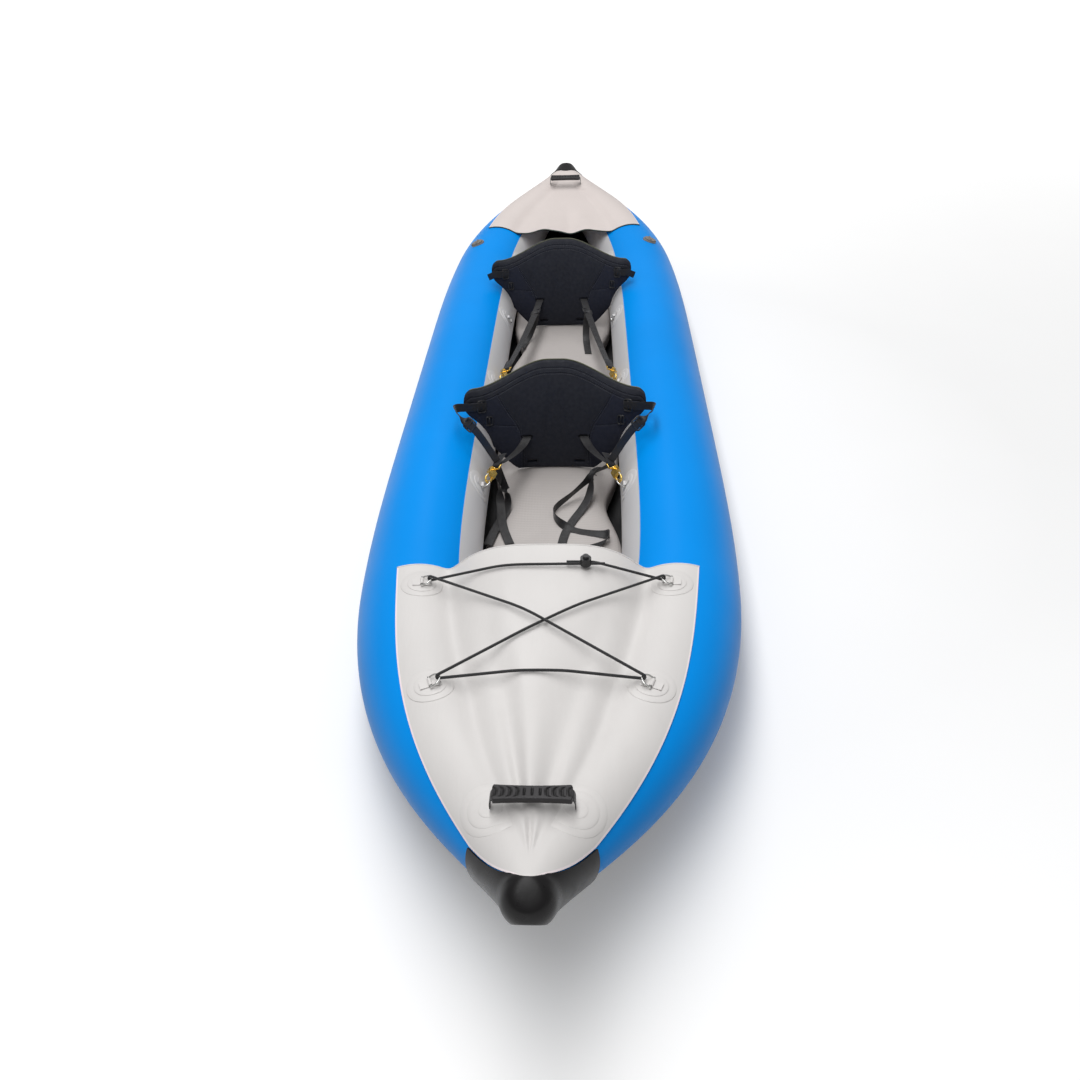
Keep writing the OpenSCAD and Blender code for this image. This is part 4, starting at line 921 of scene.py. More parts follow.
def metal(name, c, rough=0.24, tarnish=0.75):
    """Bright metal: fine drawing lines along the wire, a little tarnish and rubbed shine."""
    k = Look(name)
    stain = k.ramp(k.noise(70, 6, 0.65), 0.48, 0.75)
    tone = k.mix(k.math("MULTIPLY", stain, 0.5), c, tinted(c, tarnish))
    lines = k.noise(900, 3, 0.5, k.turned(0.4, scale=(1, 0.08, 1)))
    shine = k.worn(120, 5, rough - 0.07, rough + 0.12)
    return k.finish(tone, shine, k.bump(lines, 0.00003, 0.4), metallic=1.0)


def neoprene(name, c, wing):
    """Knitted cloth over foam: fine rows of loops, a bluer cloth on the wings, soft sheen and lint."""
    k = Look(name)
    share = k.node("ShaderNodeAttribute", {}, out=2, attribute_name="wing")
    tone = k.mix(share, c, wing)
    lint = k.ramp(k.noise(420, 3, 0.7), 0.58, 0.75)
    tone = k.mix(k.math("MULTIPLY", lint, 0.14), tone, tinted(c, 4.0))
    tone = k.mix(k.ramp(k.noise(9, 5), 0.35, 0.7, 0, 0.35), tone, tinted(c, 0.7))
    loops = k.math("MULTIPLY", k.wave(0.0011, "X", warp=0.5), k.wave(0.0013, "Z", warp=0.5))
    normal = k.bump(k.noise(22, 4), 0.0009, 0.35, k.bump(loops, 0.00012, 0.7))
    return k.finish(tone, k.worn(90, 4, 0.7, 0.85), normal, sheen_weight=0.05, sheen_roughness=0.45)


def woven(name, c, rough=0.52):
    """Strap webbing: ribs across and yarns along, with painted highlights on the tops of the ribs and
    painted shade between them, pale painted highlight patches and a slight sheen. It follows the strap's own
    metres."""
    k = Look(name)
    ribs = k.wave(0.0021, "X", k.uv, 0.2)
    yarns = k.wave(0.0034, "DIAGONAL", k.uv, 0.1)
    height = k.math("ADD", k.math("MULTIPLY", ribs, 0.7), k.math("MULTIPLY", yarns, 0.5))
    # Painted light: the colour follows the ribs' height, lighter on their tops and darker between them.
    tone = k.mix(k.ramp(height, 0.2, 1.1), tinted(c, 0.65), tinted(c, 1.5))
    # Painted highlight: pale patches scattered over the webbing.
    tone = k.mix(k.ramp(k.noise(30, 5), 0.45, 0.75, 0, 0.3), tone, tinted(c, 1.9))
    normal = k.bump(height, 0.00035, 0.7)
    dull = k.worn(60, 4, rough - 0.1, rough + 0.12)
    return k.finish(tone, dull, normal, sheen_weight=0.15, sheen_roughness=0.4)


def braid(name, c):
    """Braided sheath of a shock cord: two crossing families of strands, with painted shade between them and
    painted highlights on their tops, and a pale fleck thread.
    """
    k = Look(name)
    left = k.wave(0.003, "X", k.turned(0.7, k.uv))
    right = k.wave(0.003, "X", k.turned(-0.7, k.uv))
    height = k.math("MAXIMUM", left, right)
    # Painted light: the colour follows the strands' height, darker between them and lighter on their tops.
    tone = k.mix(k.ramp(height, 0.3, 1.0), tinted(c, 0.5), tinted(c, 1.8))
    fleck = k.ramp(k.math("MULTIPLY", left, k.wave(0.012, "X", k.turned(0.7, k.uv))), 0.86, 0.95)
    tone = k.mix(k.math("MULTIPLY", fleck, 0.25), tone, tinted(c, 6.0))
    return k.finish(tone, 0.62, k.bump(height, 0.0005, 0.8), sheen_weight=0.2, sheen_roughness=0.5)


def thread(name, c):
    """Sewing thread: short stitches with a painted highlight and painted shade along their twist."""
    k = Look(name)
    twist = k.wave(0.0009, "DIAGONAL")
    # Painted light: lighter and darker bands that follow the twist.
    tone = k.mix(twist, tinted(c, 0.7), tinted(c, 1.3))
    return k.finish(tone, 0.55, k.bump(twist, 0.0001, 0.6), sheen_weight=0.2, sheen_roughness=0.4)


LOOKS = {}


def look(name):
    """One shared material by name, made when it is first asked for."""
    if name not in LOOKS:
        c = colours()
        makers = {
            "tube": lambda: coated("tube_fabric", c.tube, 0.38, 0.06),
            "wall": lambda: coated("inner_wall_fabric", c.wall, 0.4),
            "bottom": lambda: coated("bottom_fabric", c.bottom, 0.42),
            "patch": lambda: coated("patch_fabric", c.bow, 0.45),
            "stern_patch": lambda: coated("stern_patch_fabric", c.stern, 0.45),
            "wall_patch": lambda: coated("wall_patch_fabric", tinted(c.wall, 1.05), 0.45),
            "bow": lambda: deck_cloth("bow_deck_fabric", c.bow, c.edge),
            "stern": lambda: deck_cloth("stern_deck_fabric", c.stern, c.edge),
            "hem": lambda: woven("hem_tape", c.hem, 0.6),
            "floor": lambda: drop_stitch("floor_fabric", c.floor),
            "cap": lambda: rubber("cap_rubber", c.rubber, 0.3, 0.22),
            "grip": lambda: rubber("grip_rubber", tinted(c.rubber, 3.4), 0.5),
            "fabric": lambda: neoprene("seat_fabric", c.fabric, c.wing),
            "rim": lambda: woven("seat_rim", c.rim, 0.65),
            "back": lambda: plastic("seat_back", c.back, 0.6, 0.0002),
            "webbing": lambda: woven("strap_webbing", c.webbing),
            "cord": lambda: braid("cord_sheath", c.cord),
            "plastic": lambda: plastic("black_plastic", c.plastic, 0.36),
            "button": lambda: plastic("button_plastic", tinted(c.plastic, 1.8), 0.45),
            "valve": lambda: plastic("valve_plastic", c.valve, 0.42),
            "valve_cap": lambda: plastic("valve_cap_plastic", tinted(c.valve, 0.82), 0.4),
            "stem": lambda: plastic("stem_plastic", srgb(225, 224, 220), 0.35),
            "spring": lambda: metal("spring_steel", srgb(168, 168, 170), 0.3),
            "steel": lambda: metal("ring_steel", c.steel, 0.2),
            "brass": lambda: metal("hook_brass", c.brass, 0.22, 0.6),
            "bolt": lambda: metal("bolt_steel", srgb(212, 205, 186), 0.24),
            "thread": lambda: thread("seat_thread", srgb(58, 62, 74)),
        }
        LOOKS[name] = makers[name]()
    return LOOKS[name]


def paint(name, *nodes):
    """Gives frame nodes a material in place of their plain one."""
    for node in nodes:
        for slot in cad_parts[node].material_slots:
            slot.material = look(name)


# Radius and depth of the room for a valve's barrel
VALVE_HOLE, VALVE_DEPTH = 0.0265, 0.05


def dent(points, middle, out, radius=VALVE_HOLE, depth=VALVE_DEPTH):
    """Sinks the points near a fitting's middle along its axis, so its barrel has room."""
    gap = points - middle
    high = (gap * out).sum(-1, keepdims=True)
    apart = np.linalg.norm(gap - high * out, axis=-1)
    near = (apart < radius) & (np.abs(high[..., 0]) < 0.06)
    return points - out * (depth * (1 - smooth(radius - 0.004, radius, apart)) * near)[..., None]


# Stage and pieces

class KAYAK_OT_stage(Operator):
    """Sets the camera, a pale floor, a white surround and one soft light."""

    bl_idname = "kayak.stage"
    bl_label = "Stage"

    def execute(self, context):
        scene = context.scene
        scene.view_settings.view_transform = "Standard"
        scene.camera = self.camera(scene.collection)
        self.floor(scene.collection)
        scene.world = self.surround()
        self.light(scene.collection)
        return {"FINISHED"}

    @staticmethod
    def camera(collection):
        """Camera at the place and with the lens that were fitted to the photograph."""
        data = bpy.data.cameras.new("camera")
        data.lens, data.sensor_width = 32.55, 36
        data.clip_end = 200
        camera = bpy.data.objects.new("camera", data)
        right = (0.99887, 0.03578, -0.03134)
        up = (0.00471, 0.58115, 0.81378)
        back = (0.04733, -0.81301, 0.58033)
        turn = Matrix((right, up, back)).transposed().to_4x4()
        camera.matrix_world = Matrix.Translation((0.0894, -2.8966, 1.6361)) @ turn
        collection.objects.link(camera)
        return camera

    @classmethod
    def floor(cls, collection):
        """Wide level floor just under the hull."""
        size, level = 60.0, -0.0012
        corners = [(-size, -size, level), (size, -size, level), (size, size, level), (-size, size, level)]
        mesh = bpy.data.meshes.new("floor")
        mesh.from_pydata(corners, [], [(0, 1, 2, 3)])
        floor = bpy.data.objects.new("floor", mesh)
        collection.objects.link(floor)
        mesh.materials.append(cls.floor_look())
        floor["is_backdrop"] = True

    @staticmethod
    def surround():
        """White light from all round."""
        world = bpy.data.worlds.new("studio")
        world.use_nodes = True
        sockets = world.node_tree.nodes["Background"].inputs
        sockets["Color"].default_value = (1, 1, 1, 1)
        sockets["Strength"].default_value = 0.36
        return world

    @staticmethod
    def light(collection):
        """Long soft box over the hull, a little to the left."""
        light = bpy.data.lights.new("softbox", "AREA")
        light.shape, light.size, light.size_y, light.energy = "RECTANGLE", 1.4, 8.0, 185
        lamp = bpy.data.objects.new("softbox", light)
        lamp.location = (-0.5, 0.0, 4.2)
        collection.objects.link(lamp)

    @staticmethod
    def floor_look():
        """Pale studio floor that catches shadows. Rays from the camera, a mirror or a clear piece see it
        lifted to white, more so far away, and other rays see it grey, so it throws little light back up."""
        k = Look("studio_floor")
        path = k.tree.nodes.new("ShaderNodeLightPath").outputs
        bent = k.math("MAXIMUM", path["Is Transmission Ray"], path["Is Glossy Ray"])
        seen = k.math("MAXIMUM", path["Is Camera Ray"], bent)
        tone = k.mix(seen, (0.4, 0.4, 0.4), k.mix(k.noise(3, 2), (0.92, 0.92, 0.92), (0.94, 0.94, 0.94)))
        apart = k.node("ShaderNodeVectorMath", {0: k.space}, out=1, operation="LENGTH")
        k.shader.inputs["Emission Color"].default_value = (1, 1, 1, 1)
        glow = k.math("MULTIPLY", seen, k.ramp(apart, 1.5, 7.0, 0.12, 0.8))
        k.feed(k.shader.inputs["Emission Strength"], glow)
        return k.finish(tone, 0.9, specular_ior_level=0.0)


# Bow deck's rings, from amidships and round the tube; height of a ring's bar over the wall; tilt of the
# deck rings; reach from a ring's bar to the inside of its far end
DECK_RINGS = ((1.55, np.radians(90)), (1.205, np.radians(98)))
BAR_LIFT = 0.00628
RING_TILT = np.radians(25)
RING_REACH = 0.008 + 0.014

# Cord's diameter; cord lock's place across the hull and its height; half the gap between its two holes, and
# from its middle to its mouth and to the cord's free end
CORD = 0.006
LOCK_X, LOCK_Z = 0.088, 0.35519
LOCK_HOLE, LOCK_MOUTH, LOCK_END = 0.0036, 0.0168, 0.042


class KAYAK_OT_bungee(Operator):
    """Lays the deck bungee through its rings."""

    bl_idname = "kayak.bungee"
    bl_label = "Deck bungee"

    def execute(self, context):
        """The route: round each ring, straight runs kept over the deck, one crossing, both ends in the
        cord lock."""

        def turn(i, below, radius=0.0055):
            """Half a turn round the far end of a right-hand ring, starting below it or above it."""
            p, x, y, z = wall_frame(station(-DECK_RINGS[i][0]), DECK_RINGS[i][1], hull().deck_off)
            out = y * np.cos(RING_TILT) + z * np.sin(RING_TILT)
            up = np.cross(x, out)
            middle = p + z * BAR_LIFT + out * RING_REACH
            a = np.radians(np.linspace(-90, 90, 5) * (1 if below else -1))[:, None]
            return middle + radius * (np.sin(a) * up - np.cos(a) * out)

        def run(a, b, hop=0.0, count=25, gap=0.0025):
            """A taut line from a to b: in each place the highest of all straight lines between two places
            it must clear. With a hop it also rises over another cord halfway."""
            t = np.linspace(0, 1, count)
            line = lerp(a, b, t[:, None])
            clear = deck_height(line[:, 0], line[:, 1]) + CORD / 2 + gap
            clear = clear + hop * np.exp(-((t - 0.5) * 7) ** 2)
            clear[[0, -1]] = a[2], b[2]
            i, j, k = np.meshgrid(np.arange(count), np.arange(count), np.arange(count), indexing="ij")
            share = (k - i) / np.maximum(1, j - i)
            high = np.where((i <= k) & (k <= j), lerp(clear[i], clear[j], share), -1)
            line[:, 2] = high.max((0, 1))
            return line[1:-1]

        front, rear = turn(0, False), turn(1, True)
        lock = np.array([LOCK_X, rear[0][1], LOCK_Z])

        def to_lock(a, side):
            """From a ring's turn through the cord lock to a short free end."""
            b = lock + np.array([0, side * LOCK_HOLE, 0])
            way = np.sign(a[0] - b[0])
            mouth = b + np.array([way * LOCK_MOUTH, 0, 0])
            line = np.concatenate([run(a, mouth), [mouth, b - np.array([way * LOCK_END, 0, 0])]])
            return calm(evened(line, 0.004), 10)

        left_rear, left_front = rear * MIRROR, front * MIRROR
        route = np.concatenate([
            to_lock(rear[0], 1)[::-1], rear, run(rear[4], left_front[0]), left_front,
            run(left_front[4], front[4]), front[::-1], run(front[0], left_rear[4], CORD + 0.001),
            left_rear[::-1], to_lock(left_rear[0], -1)])
        path = evened(curve(route, 6), 0.004)
        shape = Shape()
        rod(shape, path, CORD / 2, 14)
        piece = shape.build("deck_bungee", look("cord"), "hull", ["bungee_cord"], "cord")
        paint("plastic", "cord_lock_body")
        paint("button", "cord_lock_button")
        return {"FINISHED"}


# Loose ends on the floor: the side each starts from, its points with their heights over the floor, and
# which way its width lies at each point. A strap's middle is FLAT over the floor where it lies flat and
# EDGE where it stands on its edge
FLAT, EDGE = 0.0013, 0.0135
TAILS = {
    "left_long": (
        -1,
        [(-0.132, -0.565, 0.018), (-0.14, -0.61, FLAT), (-0.159, -0.68, FLAT), (-0.177, -0.765, FLAT)],
        [(0.7, -0.5, 0.4), (1, -0.3, 0), (1, -0.25, 0), (1, -0.2, 0)]),
    "left_short": (
        -1,
        [(-0.156, -0.56, 0.045), (-0.15, -0.61, 0.012), (-0.146, -0.65, FLAT + 0.0026),
         (-0.136, -0.7, FLAT + 0.001), (-0.117, -0.762, FLAT)],
        [(0.3, 1, 0), (0.8, 0.3, 0.3), (1, 0.2, 0), (1, 0.25, 0), (1, 0.3, 0)]),
    "right_long": (
        1,
        [(0.108, -0.5, 0.06), (0.1, -0.548, 0.022), (0.078, -0.6, 0.007), (0.054, -0.652, 0.004),
         (0.031, -0.716, FLAT), (0.02, -0.8, FLAT)],
        [(0, 0, 1), (0.8, 0.2, 0.4), (1, -0.5, 0.1), (1, -0.4, 0), (1, -0.3, 0), (1, -0.15, 0)]),
    "right_loop": (
        1,
        [(0.098, -0.51, 0.05), (0.05, -0.55, 0.024), (0.012, -0.588, EDGE), (-0.003, -0.625, EDGE),
         (0.01, -0.668, EDGE), (0.05, -0.698, FLAT), (0.1, -0.711, FLAT), (0.14, -0.722, 0.004),
         (0.153, -0.734, EDGE), (0.138, -0.756, 0.006), (0.106, -0.778, FLAT)],
        [(0, 0, 1), (0.2, -0.3, 1), (0.1, 0.1, 1), (0, 0, 1), (0, 0.2, 1), (-0.2, 1, 0.2),
         (-0.2, 1, 0), (-0.2, 1, 0.3), (0, 0.2, 1), (0.5, -0.6, 0.5), (0.6, -0.8, 0)]),
}


class KAYAK_OT_tails(Operator):
    """Lays the loose strap ends on the floor in front of the front seat."""

    bl_idname = "kayak.tails"
    bl_label = "Loose strap ends"

    def execute(self, context):
        """Each end leaves its hook, drops to the floor and runs through its points, with its width turned
        from the hook's bar to the sides of the table."""
        out, side, bar = hook(0)
        start = bar + out * 0.0052 + np.array([0, 0, -0.008])
        for name, (sign, points, sides) in TAILS.items():
            way = np.array([sign, 1, 1])
            a = start * way + np.array([0, 0, 0.004 if name == "right_loop" else 0.0])
            lying = [(x, y, float(floor_height(np.array(y))) + up) for x, y, up in points]
            halfway = lerp(a, np.array(lying[0]), 0.5) + np.array([0, 0, 0.006])
            line = calm(curve([a, halfway, *lying], 16), 30)
            path = evened(line, 0.003)
            turn = np.array([side * way, side * way + np.array([0, 0, 0.3]), *sides])
            share = np.linspace(0, len(turn) - 1, len(line))
            width = calm(sampled(share, np.arange(len(turn)), turn), 30)
            run = lengths(line)
            shape = Shape()
            webbing(shape, path, sampled(np.linspace(0, run[-1], len(path)), run, width))
            piece = shape.build(
                f"floor_tail_{name}", look("webbing"), "hull", ["front_seat_tails"], "webbing")
        return {"FINISHED"}


class KAYAK_OT_tubes(Operator):
    """Blows up the side tubes and bonds the grey panels to their inner walls."""

    bl_idname = "kayak.tubes"
    bl_label = "Side tubes"

    def execute(self, context):
        """Rings of points round a tube's axis, closer together at the ends and round the valve, with a hole
        for it. A panel is a thin slab on the inner wall between two angles."""
        valve, angle = station(1.125), np.radians(70)
        t = np.linspace(-1, 1, 321)
        u = np.unique(np.concatenate([t * (1.35 - 0.35 * t * t), valve + np.linspace(-0.016, 0.016, 29)]))
        round_tube, at_valve = np.linspace(0, 2 * np.pi, 97)[:-1], angle + np.linspace(-0.23, 0.23, 29)
        a = np.unique(np.concatenate([round_tube, at_valve]))
        points = wall(u[:, None], a[None])
        points[..., 0] = np.maximum(points[..., 0], 0.0002)
        p, _, _, z = wall_frame(valve, angle)
        points = dent(points, p, z)
        u = np.linspace(-0.86, 0.86, 241)[:, None]
        a = np.radians(np.linspace(134.5, 240, 37))[None]
        face, back = wall(u, a, hull().panel_off), wall(u, a, 0.0003)
        for side, way in SIDES:
            shape = Shape()
            shape.capped(points * way, np.array([0, 1, 0]))
            shape.build(f"tube_{side}", look("tube"), "hull", [f"{side}_tube"], "hull_pvc")
            shape = Shape()
            shape.slab(face * way, back * way)
            shape.build(
                f"inner_wall_{side}", look("wall"), "hull", [f"{side}_inner_panel"], "panel_pvc", 40)
        return {"FINISHED"}


class KAYAK_OT_bottom(Operator):
    """Stretches the bottom skin and lays the floor mat on it."""

    bl_idname = "kayak.bottom"
    bl_label = "Bottom and floor"

    def execute(self, context):
        self.skin()
        self.mat()
        return {"FINISHED"}

    @staticmethod
    def skin():
        """Sheet that laps onto both tubes and spans straight across between them."""
        reach = station(hull().cap) - 0.003
        u = np.linspace(-reach, reach, 261)[:, None]
        a = np.radians(np.linspace(298.1, 253.1, 15))[None]

        def across(off):
            """One face, off the walls by off: a lap, a straight span and the lap's mirror image."""
            lap = wall(u, a, off)
            v = np.linspace(1, -1, 27)[None, 1:-1, None]
            span = lap[:, -1:] * np.concatenate([v, np.ones_like(v), np.ones_like(v)], -1)
            return np.concatenate([lap, span, (lap * MIRROR)[:, ::-1]], 1)

        outer = across(SKIN_OUT)
        shape = Shape()
        shape.slab(outer, across(SKIN_IN))
        skin = shape.build("bottom_sheet", look("bottom"), "hull", ["bottom_skin"], "bottom_pvc", 40)

    @staticmethod
    def mat():
        """Rings of a rounded box along the hull: as wide as the tubes leave room for, waisted in front of
        each backrest and thinning at its ends, with a hole for its valve."""
        reach, widest, valve, around = 1.48, 0.19, 1.0, 0.035
        gap, waist_deep, waist_ahead, waist_long = 0.006, 0.042, 0.18, 0.26
        at_valve = np.linspace(valve - around, valve + around, 29)
        y = np.unique(np.concatenate([np.linspace(-reach, reach, 261), at_valve]))
        u = station(y)
        r = tube_radius(u)
        _, side, _ = tube_frame(u)
        bulge_in = np.sqrt(r * r - (r - 0.85 * MAT_THICK) ** 2) / side[:, 0]
        room = axis_point(u)[:, 0] - bulge_in - hull().panel_off - gap
        waist = sum(
            waist_deep * bell(2 * (y - place + waist_ahead), waist_long)
            for place in (seats().front, seats().rear))
        half = np.minimum(widest, room) - waist
        near = np.linspace(-around, around, 29) / widest
        arc = np.linspace(0, 2 * np.pi, 97)[:-1]
        a = np.unique(np.concatenate([arc, np.arccos(np.sign(near) * near ** 2)]))
        end = 1 - smooth(reach - 0.045, reach + 0.02, np.abs(y)) ** 2
        high = floor_height(y)[:, None] + MAT_THICK / 2 * (power(np.sin(a), 0.5) * end[:, None] - 1)
        points = joined(half[:, None] * power(np.cos(a), 0.5), y[:, None], high)
        points = dent(points, np.array([0, valve, float(floor_height(np.array(valve)))]), UP)
        shape = Shape()
        shape.capped(points, np.array([0, 1, 0]))
        shape.build("air_floor", look("floor"), "hull", ["floor_mat"], "floor_pvc", 60)


# Thickness of a deck's sheet
DECK_THICK = 0.0015


class KAYAK_OT_decks(Operator):
    """Stretches the two decks over the tubes, with their folds, edges and hems."""

    bl_idname = "kayak.decks"
    bl_label = "Decks"

    def execute(self, context):
        for kind, setting in DECKS.items():
            first, last = deck_ends(kind)
            u = lerp(first, last, np.linspace(0, 1, 151) ** 0.9)[:, None]
            v = np.linspace(0, 1, 31)[None]

            def surface(height):
                """The bonded strips on both tubes and the free span between them, whose columns are then
                drawn together a few times, and more often near the tip."""
                edge, leave = edge_angle(u, kind), leave_angle(u, kind)
                on = nose(u, lerp(edge, leave, v), height)
                on[..., 0] = np.maximum(on[..., 0], 0.0006)
                s = np.linspace(1, -1, 91)[None, 1:-1]
                p = on[:, -1:]
                t, hump = deck_hump(u, s, kind)
                lift = hump + self.folds(kind, t, s)
                free = joined(p[..., 0] * s, p[..., 1], p[..., 2] + lift)
                whole = np.concatenate([on, free, (on * MIRROR)[:, ::-1]], 1)
                i = v.shape[1] - 7
                for k in range(50):
                    share = 1.0 if k < 14 else smooth(0.86, 0.98, t)[..., None]
                    mean = (whole[:, i - 1:-i - 1] + 2 * whole[:, i:-i] + whole[:, i + 1:1 - i]) / 4
                    whole[:, i:-i] = lerp(whole[:, i:-i], mean, share)
                return whole * np.array([1, setting["sign"], 1])

            outer = surface(hull().deck_off)
            widths = np.cumsum(np.linalg.norm(np.diff(outer, axis=1), axis=-1), 1)
            widths = np.concatenate([np.zeros((len(u), 1)), widths], 1)
            middle = outer[:, outer.shape[1] // 2]
            run = lengths(middle)[:, None]
            inset = np.minimum(np.minimum(widths, widths[:, -1:] - widths), run[-1] - run)
            spots = joined(inset, run)
            shape = Shape()
            shape.slab(outer, surface(hull().deck_off - DECK_THICK), spots)
            deck = shape.build(f"{kind}_deck_sheet", look(kind), "hull", [f"{kind}_deck"], "deck_pvc", 40)
            shape = Shape()
            rod(shape, evened(outer[0] + np.array([0, 0, -0.0008]), 0.006), 0.0024, 10)
            tape = look("hem" if kind == "stern" else kind)
            shape.build(f"{kind}_deck_hem", tape, "hull", (), "deck_pvc")
        return {"FINISHED"}

    @staticmethod
    def folds(kind, t, s):
        """Extra folds: ridges that fan out aft from the bow handle, slack beside them and gathers in front
        of it, and waves along the stern deck's free edge. All are sums of bell curves across the deck."""

        def ridges(*rows):
            """Sum of bell curves, each of a gain, a place and a width."""
            return sum(gain * bell(s - at, wide) for gain, at, wide in rows)

        if kind == "stern":
            wave = ridges((0.8, -0.42, 0.16), (-1.2, 0.14, 0.17), (0.5, 0.5, 0.16), (-0.6, -0.78, 0.14))
            return 0.012 * wave * (1 - smooth(0.0, 0.55, t)) * (1 - s ** 4)
        near = smooth(0.15, 0.84, t)
        fan = ridges(
            (-1.0, lerp(-0.66, -0.4, near), lerp(0.16, 0.14, near)),
            (0.8, lerp(-0.12, -0.06, near), lerp(0.3, 0.24, near)),
            (0.3, lerp(-0.34, -0.2, near), lerp(0.06, 0.07, near)),
            (-0.85, lerp(0.58, 0.4, near), lerp(0.28, 0.22, near)))
        slack = ridges(
            (0.4 * bell(t - 0.3, 0.2), -0.3 - 0.5 * t, 0.09),
            (-0.35 * bell(t - 0.42, 0.18), 0.75 - 0.4 * t, 0.1))
        gathers = ridges((1.0, -0.45, 0.2), (-1.0, -0.1, 0.17), (0.8, 0.22, 0.18), (-0.6, 0.6, 0.2))
        fade = smooth(0.04, 0.5, t) * (1 - smooth(0.79, 0.88, t)) * (1 - s ** 6)
        ahead = smooth(0.83, 0.88, t) * (1 - smooth(0.9, 0.95, t))
        return 0.0092 * (fan * fade + slack) + 0.003 * gathers * ahead


# Flats moulded on a nose cap: which way each faces, how far it stands from the end of the tubes' axes, and
# its softness
FLATS = ((np.array([0, 0.53, 0.848]), 0.0405, 0.006), (np.array([0, 0.823, -0.568]), 0.0397, 0.0015))

# A cap's outer and inner face off the tubes' walls, how far its hollow reaches past the tubes' ends, and its
# rows up to the deck's tip
CAP_OUT, CAP_IN, CAP_HOLLOW = 0.0054, 0.0019, 0.006
CAP_ROWS = 40


class KAYAK_OT_caps(Operator):
    """Moulds the rubber nose caps."""

    bl_idname = "kayak.caps"
    bl_label = "Nose caps"

    def execute(self, context):
        first = station(hull().cap)
        for kind, way in (("bow", np.array([1, -1, 1])), ("stern", np.ones(3))):
            tip = deck_ends(kind)[1]
            begun = np.arcsin(np.clip((tip - 1) * hull().end / hull().dome, 0, 1))
            round_end = 1 + np.sin(np.linspace(begun, np.pi / 2, 22))[1:] * hull().dome / hull().end
            to_end = np.linspace(tip, 1, 13)[1:] if tip < 1 else []
            u = np.concatenate([np.linspace(first, tip, CAP_ROWS + 1), to_end, round_end])[:, None]

            def skin(off, reach, moulded):
                """One half from the deck's edge, or past its tip from the middle plane, round under the
                tube, with the rows near the tip drawn together, and its mirror image."""
                tube = np.minimum(u, 1)
                level = axis_point(tube)[..., 0] / ((tube_radius(tube) + off) * tube_frame(tube)[1][..., 0])
                meet = np.arccos(np.clip(-level, -1, 1))
                top = np.minimum(np.where(u < tip, edge_angle(u, kind) - np.radians(2), meet), meet)
                v = np.linspace(0, 1, 41)[None]
                right = nose(u, lerp(top, -np.pi / 2, v), off, reach)
                right[..., 0] = np.maximum(right[..., 0], 0)
                right[CAP_ROWS:, 0, 0] = 0
                share = smooth(0.05, 0.3, v)[..., None]
                i = CAP_ROWS - 6
                for _ in range(12):
                    mean = (right[i - 1:-3] + 2 * right[i:-2] + right[i + 1:-1]) / 4
                    right[i:-2] = lerp(right[i:-2], mean, share)
                if moulded:
                    right = self.flattened(self.filled(right, smooth(-0.1, 0.15, v)[..., None]))
                    right[CAP_ROWS:, 0, 0] = 0
                return np.concatenate([right * MIRROR, right[:, -2::-1]], 1) * way

            shape = Shape()
            shape.slab(skin(CAP_OUT, hull().dome, True), skin(CAP_IN, CAP_HOLLOW, False))
            cap = shape.parted().build(
                f"nose_cap_{kind}", look("cap"), "hull", [f"{kind}_cap"], "cap_rubber", 55)
            cap.modifiers.new("seam", "WELD").merge_threshold = 0.00005
        return {"FINISHED"}

    @staticmethod
    def filled(rows, share):
        """Fills the hollow between the arms and the dome: over and over, each point moves out to the mean
        of the rows beside it where that lies outside the surface."""
        out = unit(np.cross(np.gradient(rows, axis=1), np.gradient(rows, axis=0))[1:-1])
        for _ in range(220):
            gain = (((rows[:-2] + rows[2:]) / 2 - rows[1:-1]) * out).sum(-1, keepdims=True)
            rows[1:-1] += 0.5 * share * np.maximum(gain, 0) * out
        return rows

    @staticmethod
    def flattened(rows):
        """Presses the flats into the dome: of a height past a flat, that height over one plus its share of
        the softness is left."""
        for way, far, soft in FLATS:
            past = np.maximum(0, (rows - axis_point(np.array(1.0))) @ way - far)
            rows = rows - (past - past / (1 + past / soft))[..., None] * way
        return rows


class KAYAK_OT_rings(Operator):
    """Bonds the round ring patches with their loops and finishes the rings."""

    bl_idname = "kayak.rings"
    bl_label = "Rings and patches"

    def execute(self, context):
        places = {
            "deck": [(station(-y), a, hull().deck_off) for y, a in DECK_RINGS],
            "seat": [(station(y), RING_ANGLE, hull().panel_off) for y in RINGS],
        }
        for kind, spots in places.items():
            shape = Shape()
            for u, a, off in spots:
                disc(shape, u, a, off, (0.0475, 0.032), (0.0013, 0.0026))
                self.loop(shape, u, a, off)
            shape.mirror()
            cloth = look("patch" if kind == "deck" else "wall_patch")
            shape.build(f"{kind}_patches", cloth, "hull", [f"{kind}_ring_patches"], "patch_pvc", 50)
        paint("steel", "deck_rings", "hooked_rings", "left_free_ring", "right_free_ring")
        return {"FINISHED"}

    @staticmethod
    def loop(shape, u, a, off):
        """Webbing loop over a ring's bar: flat feet, then a round turn over the bar."""
        bend, radius = np.radians(np.linspace(215, -35, 15)), 0.0034
        foot_y, foot_z = np.array([0.021, 0.014, 0.0075]), np.array([0.0031, 0.0033, 0.0035])
        y = np.concatenate([-foot_y, radius * np.cos(bend), foot_y[::-1]])
        z = np.concatenate([foot_z, BAR_LIFT + radius * np.sin(bend), foot_z[::-1]])
        local = evened(joined(0 * y, y, z), 0.0016)
        path = at_wall(u, a, off, local)
        _, x, _, _ = wall_frame(u, a, off)
        ribbon(shape, path, x, x, width=0.021, thick=0.0014)


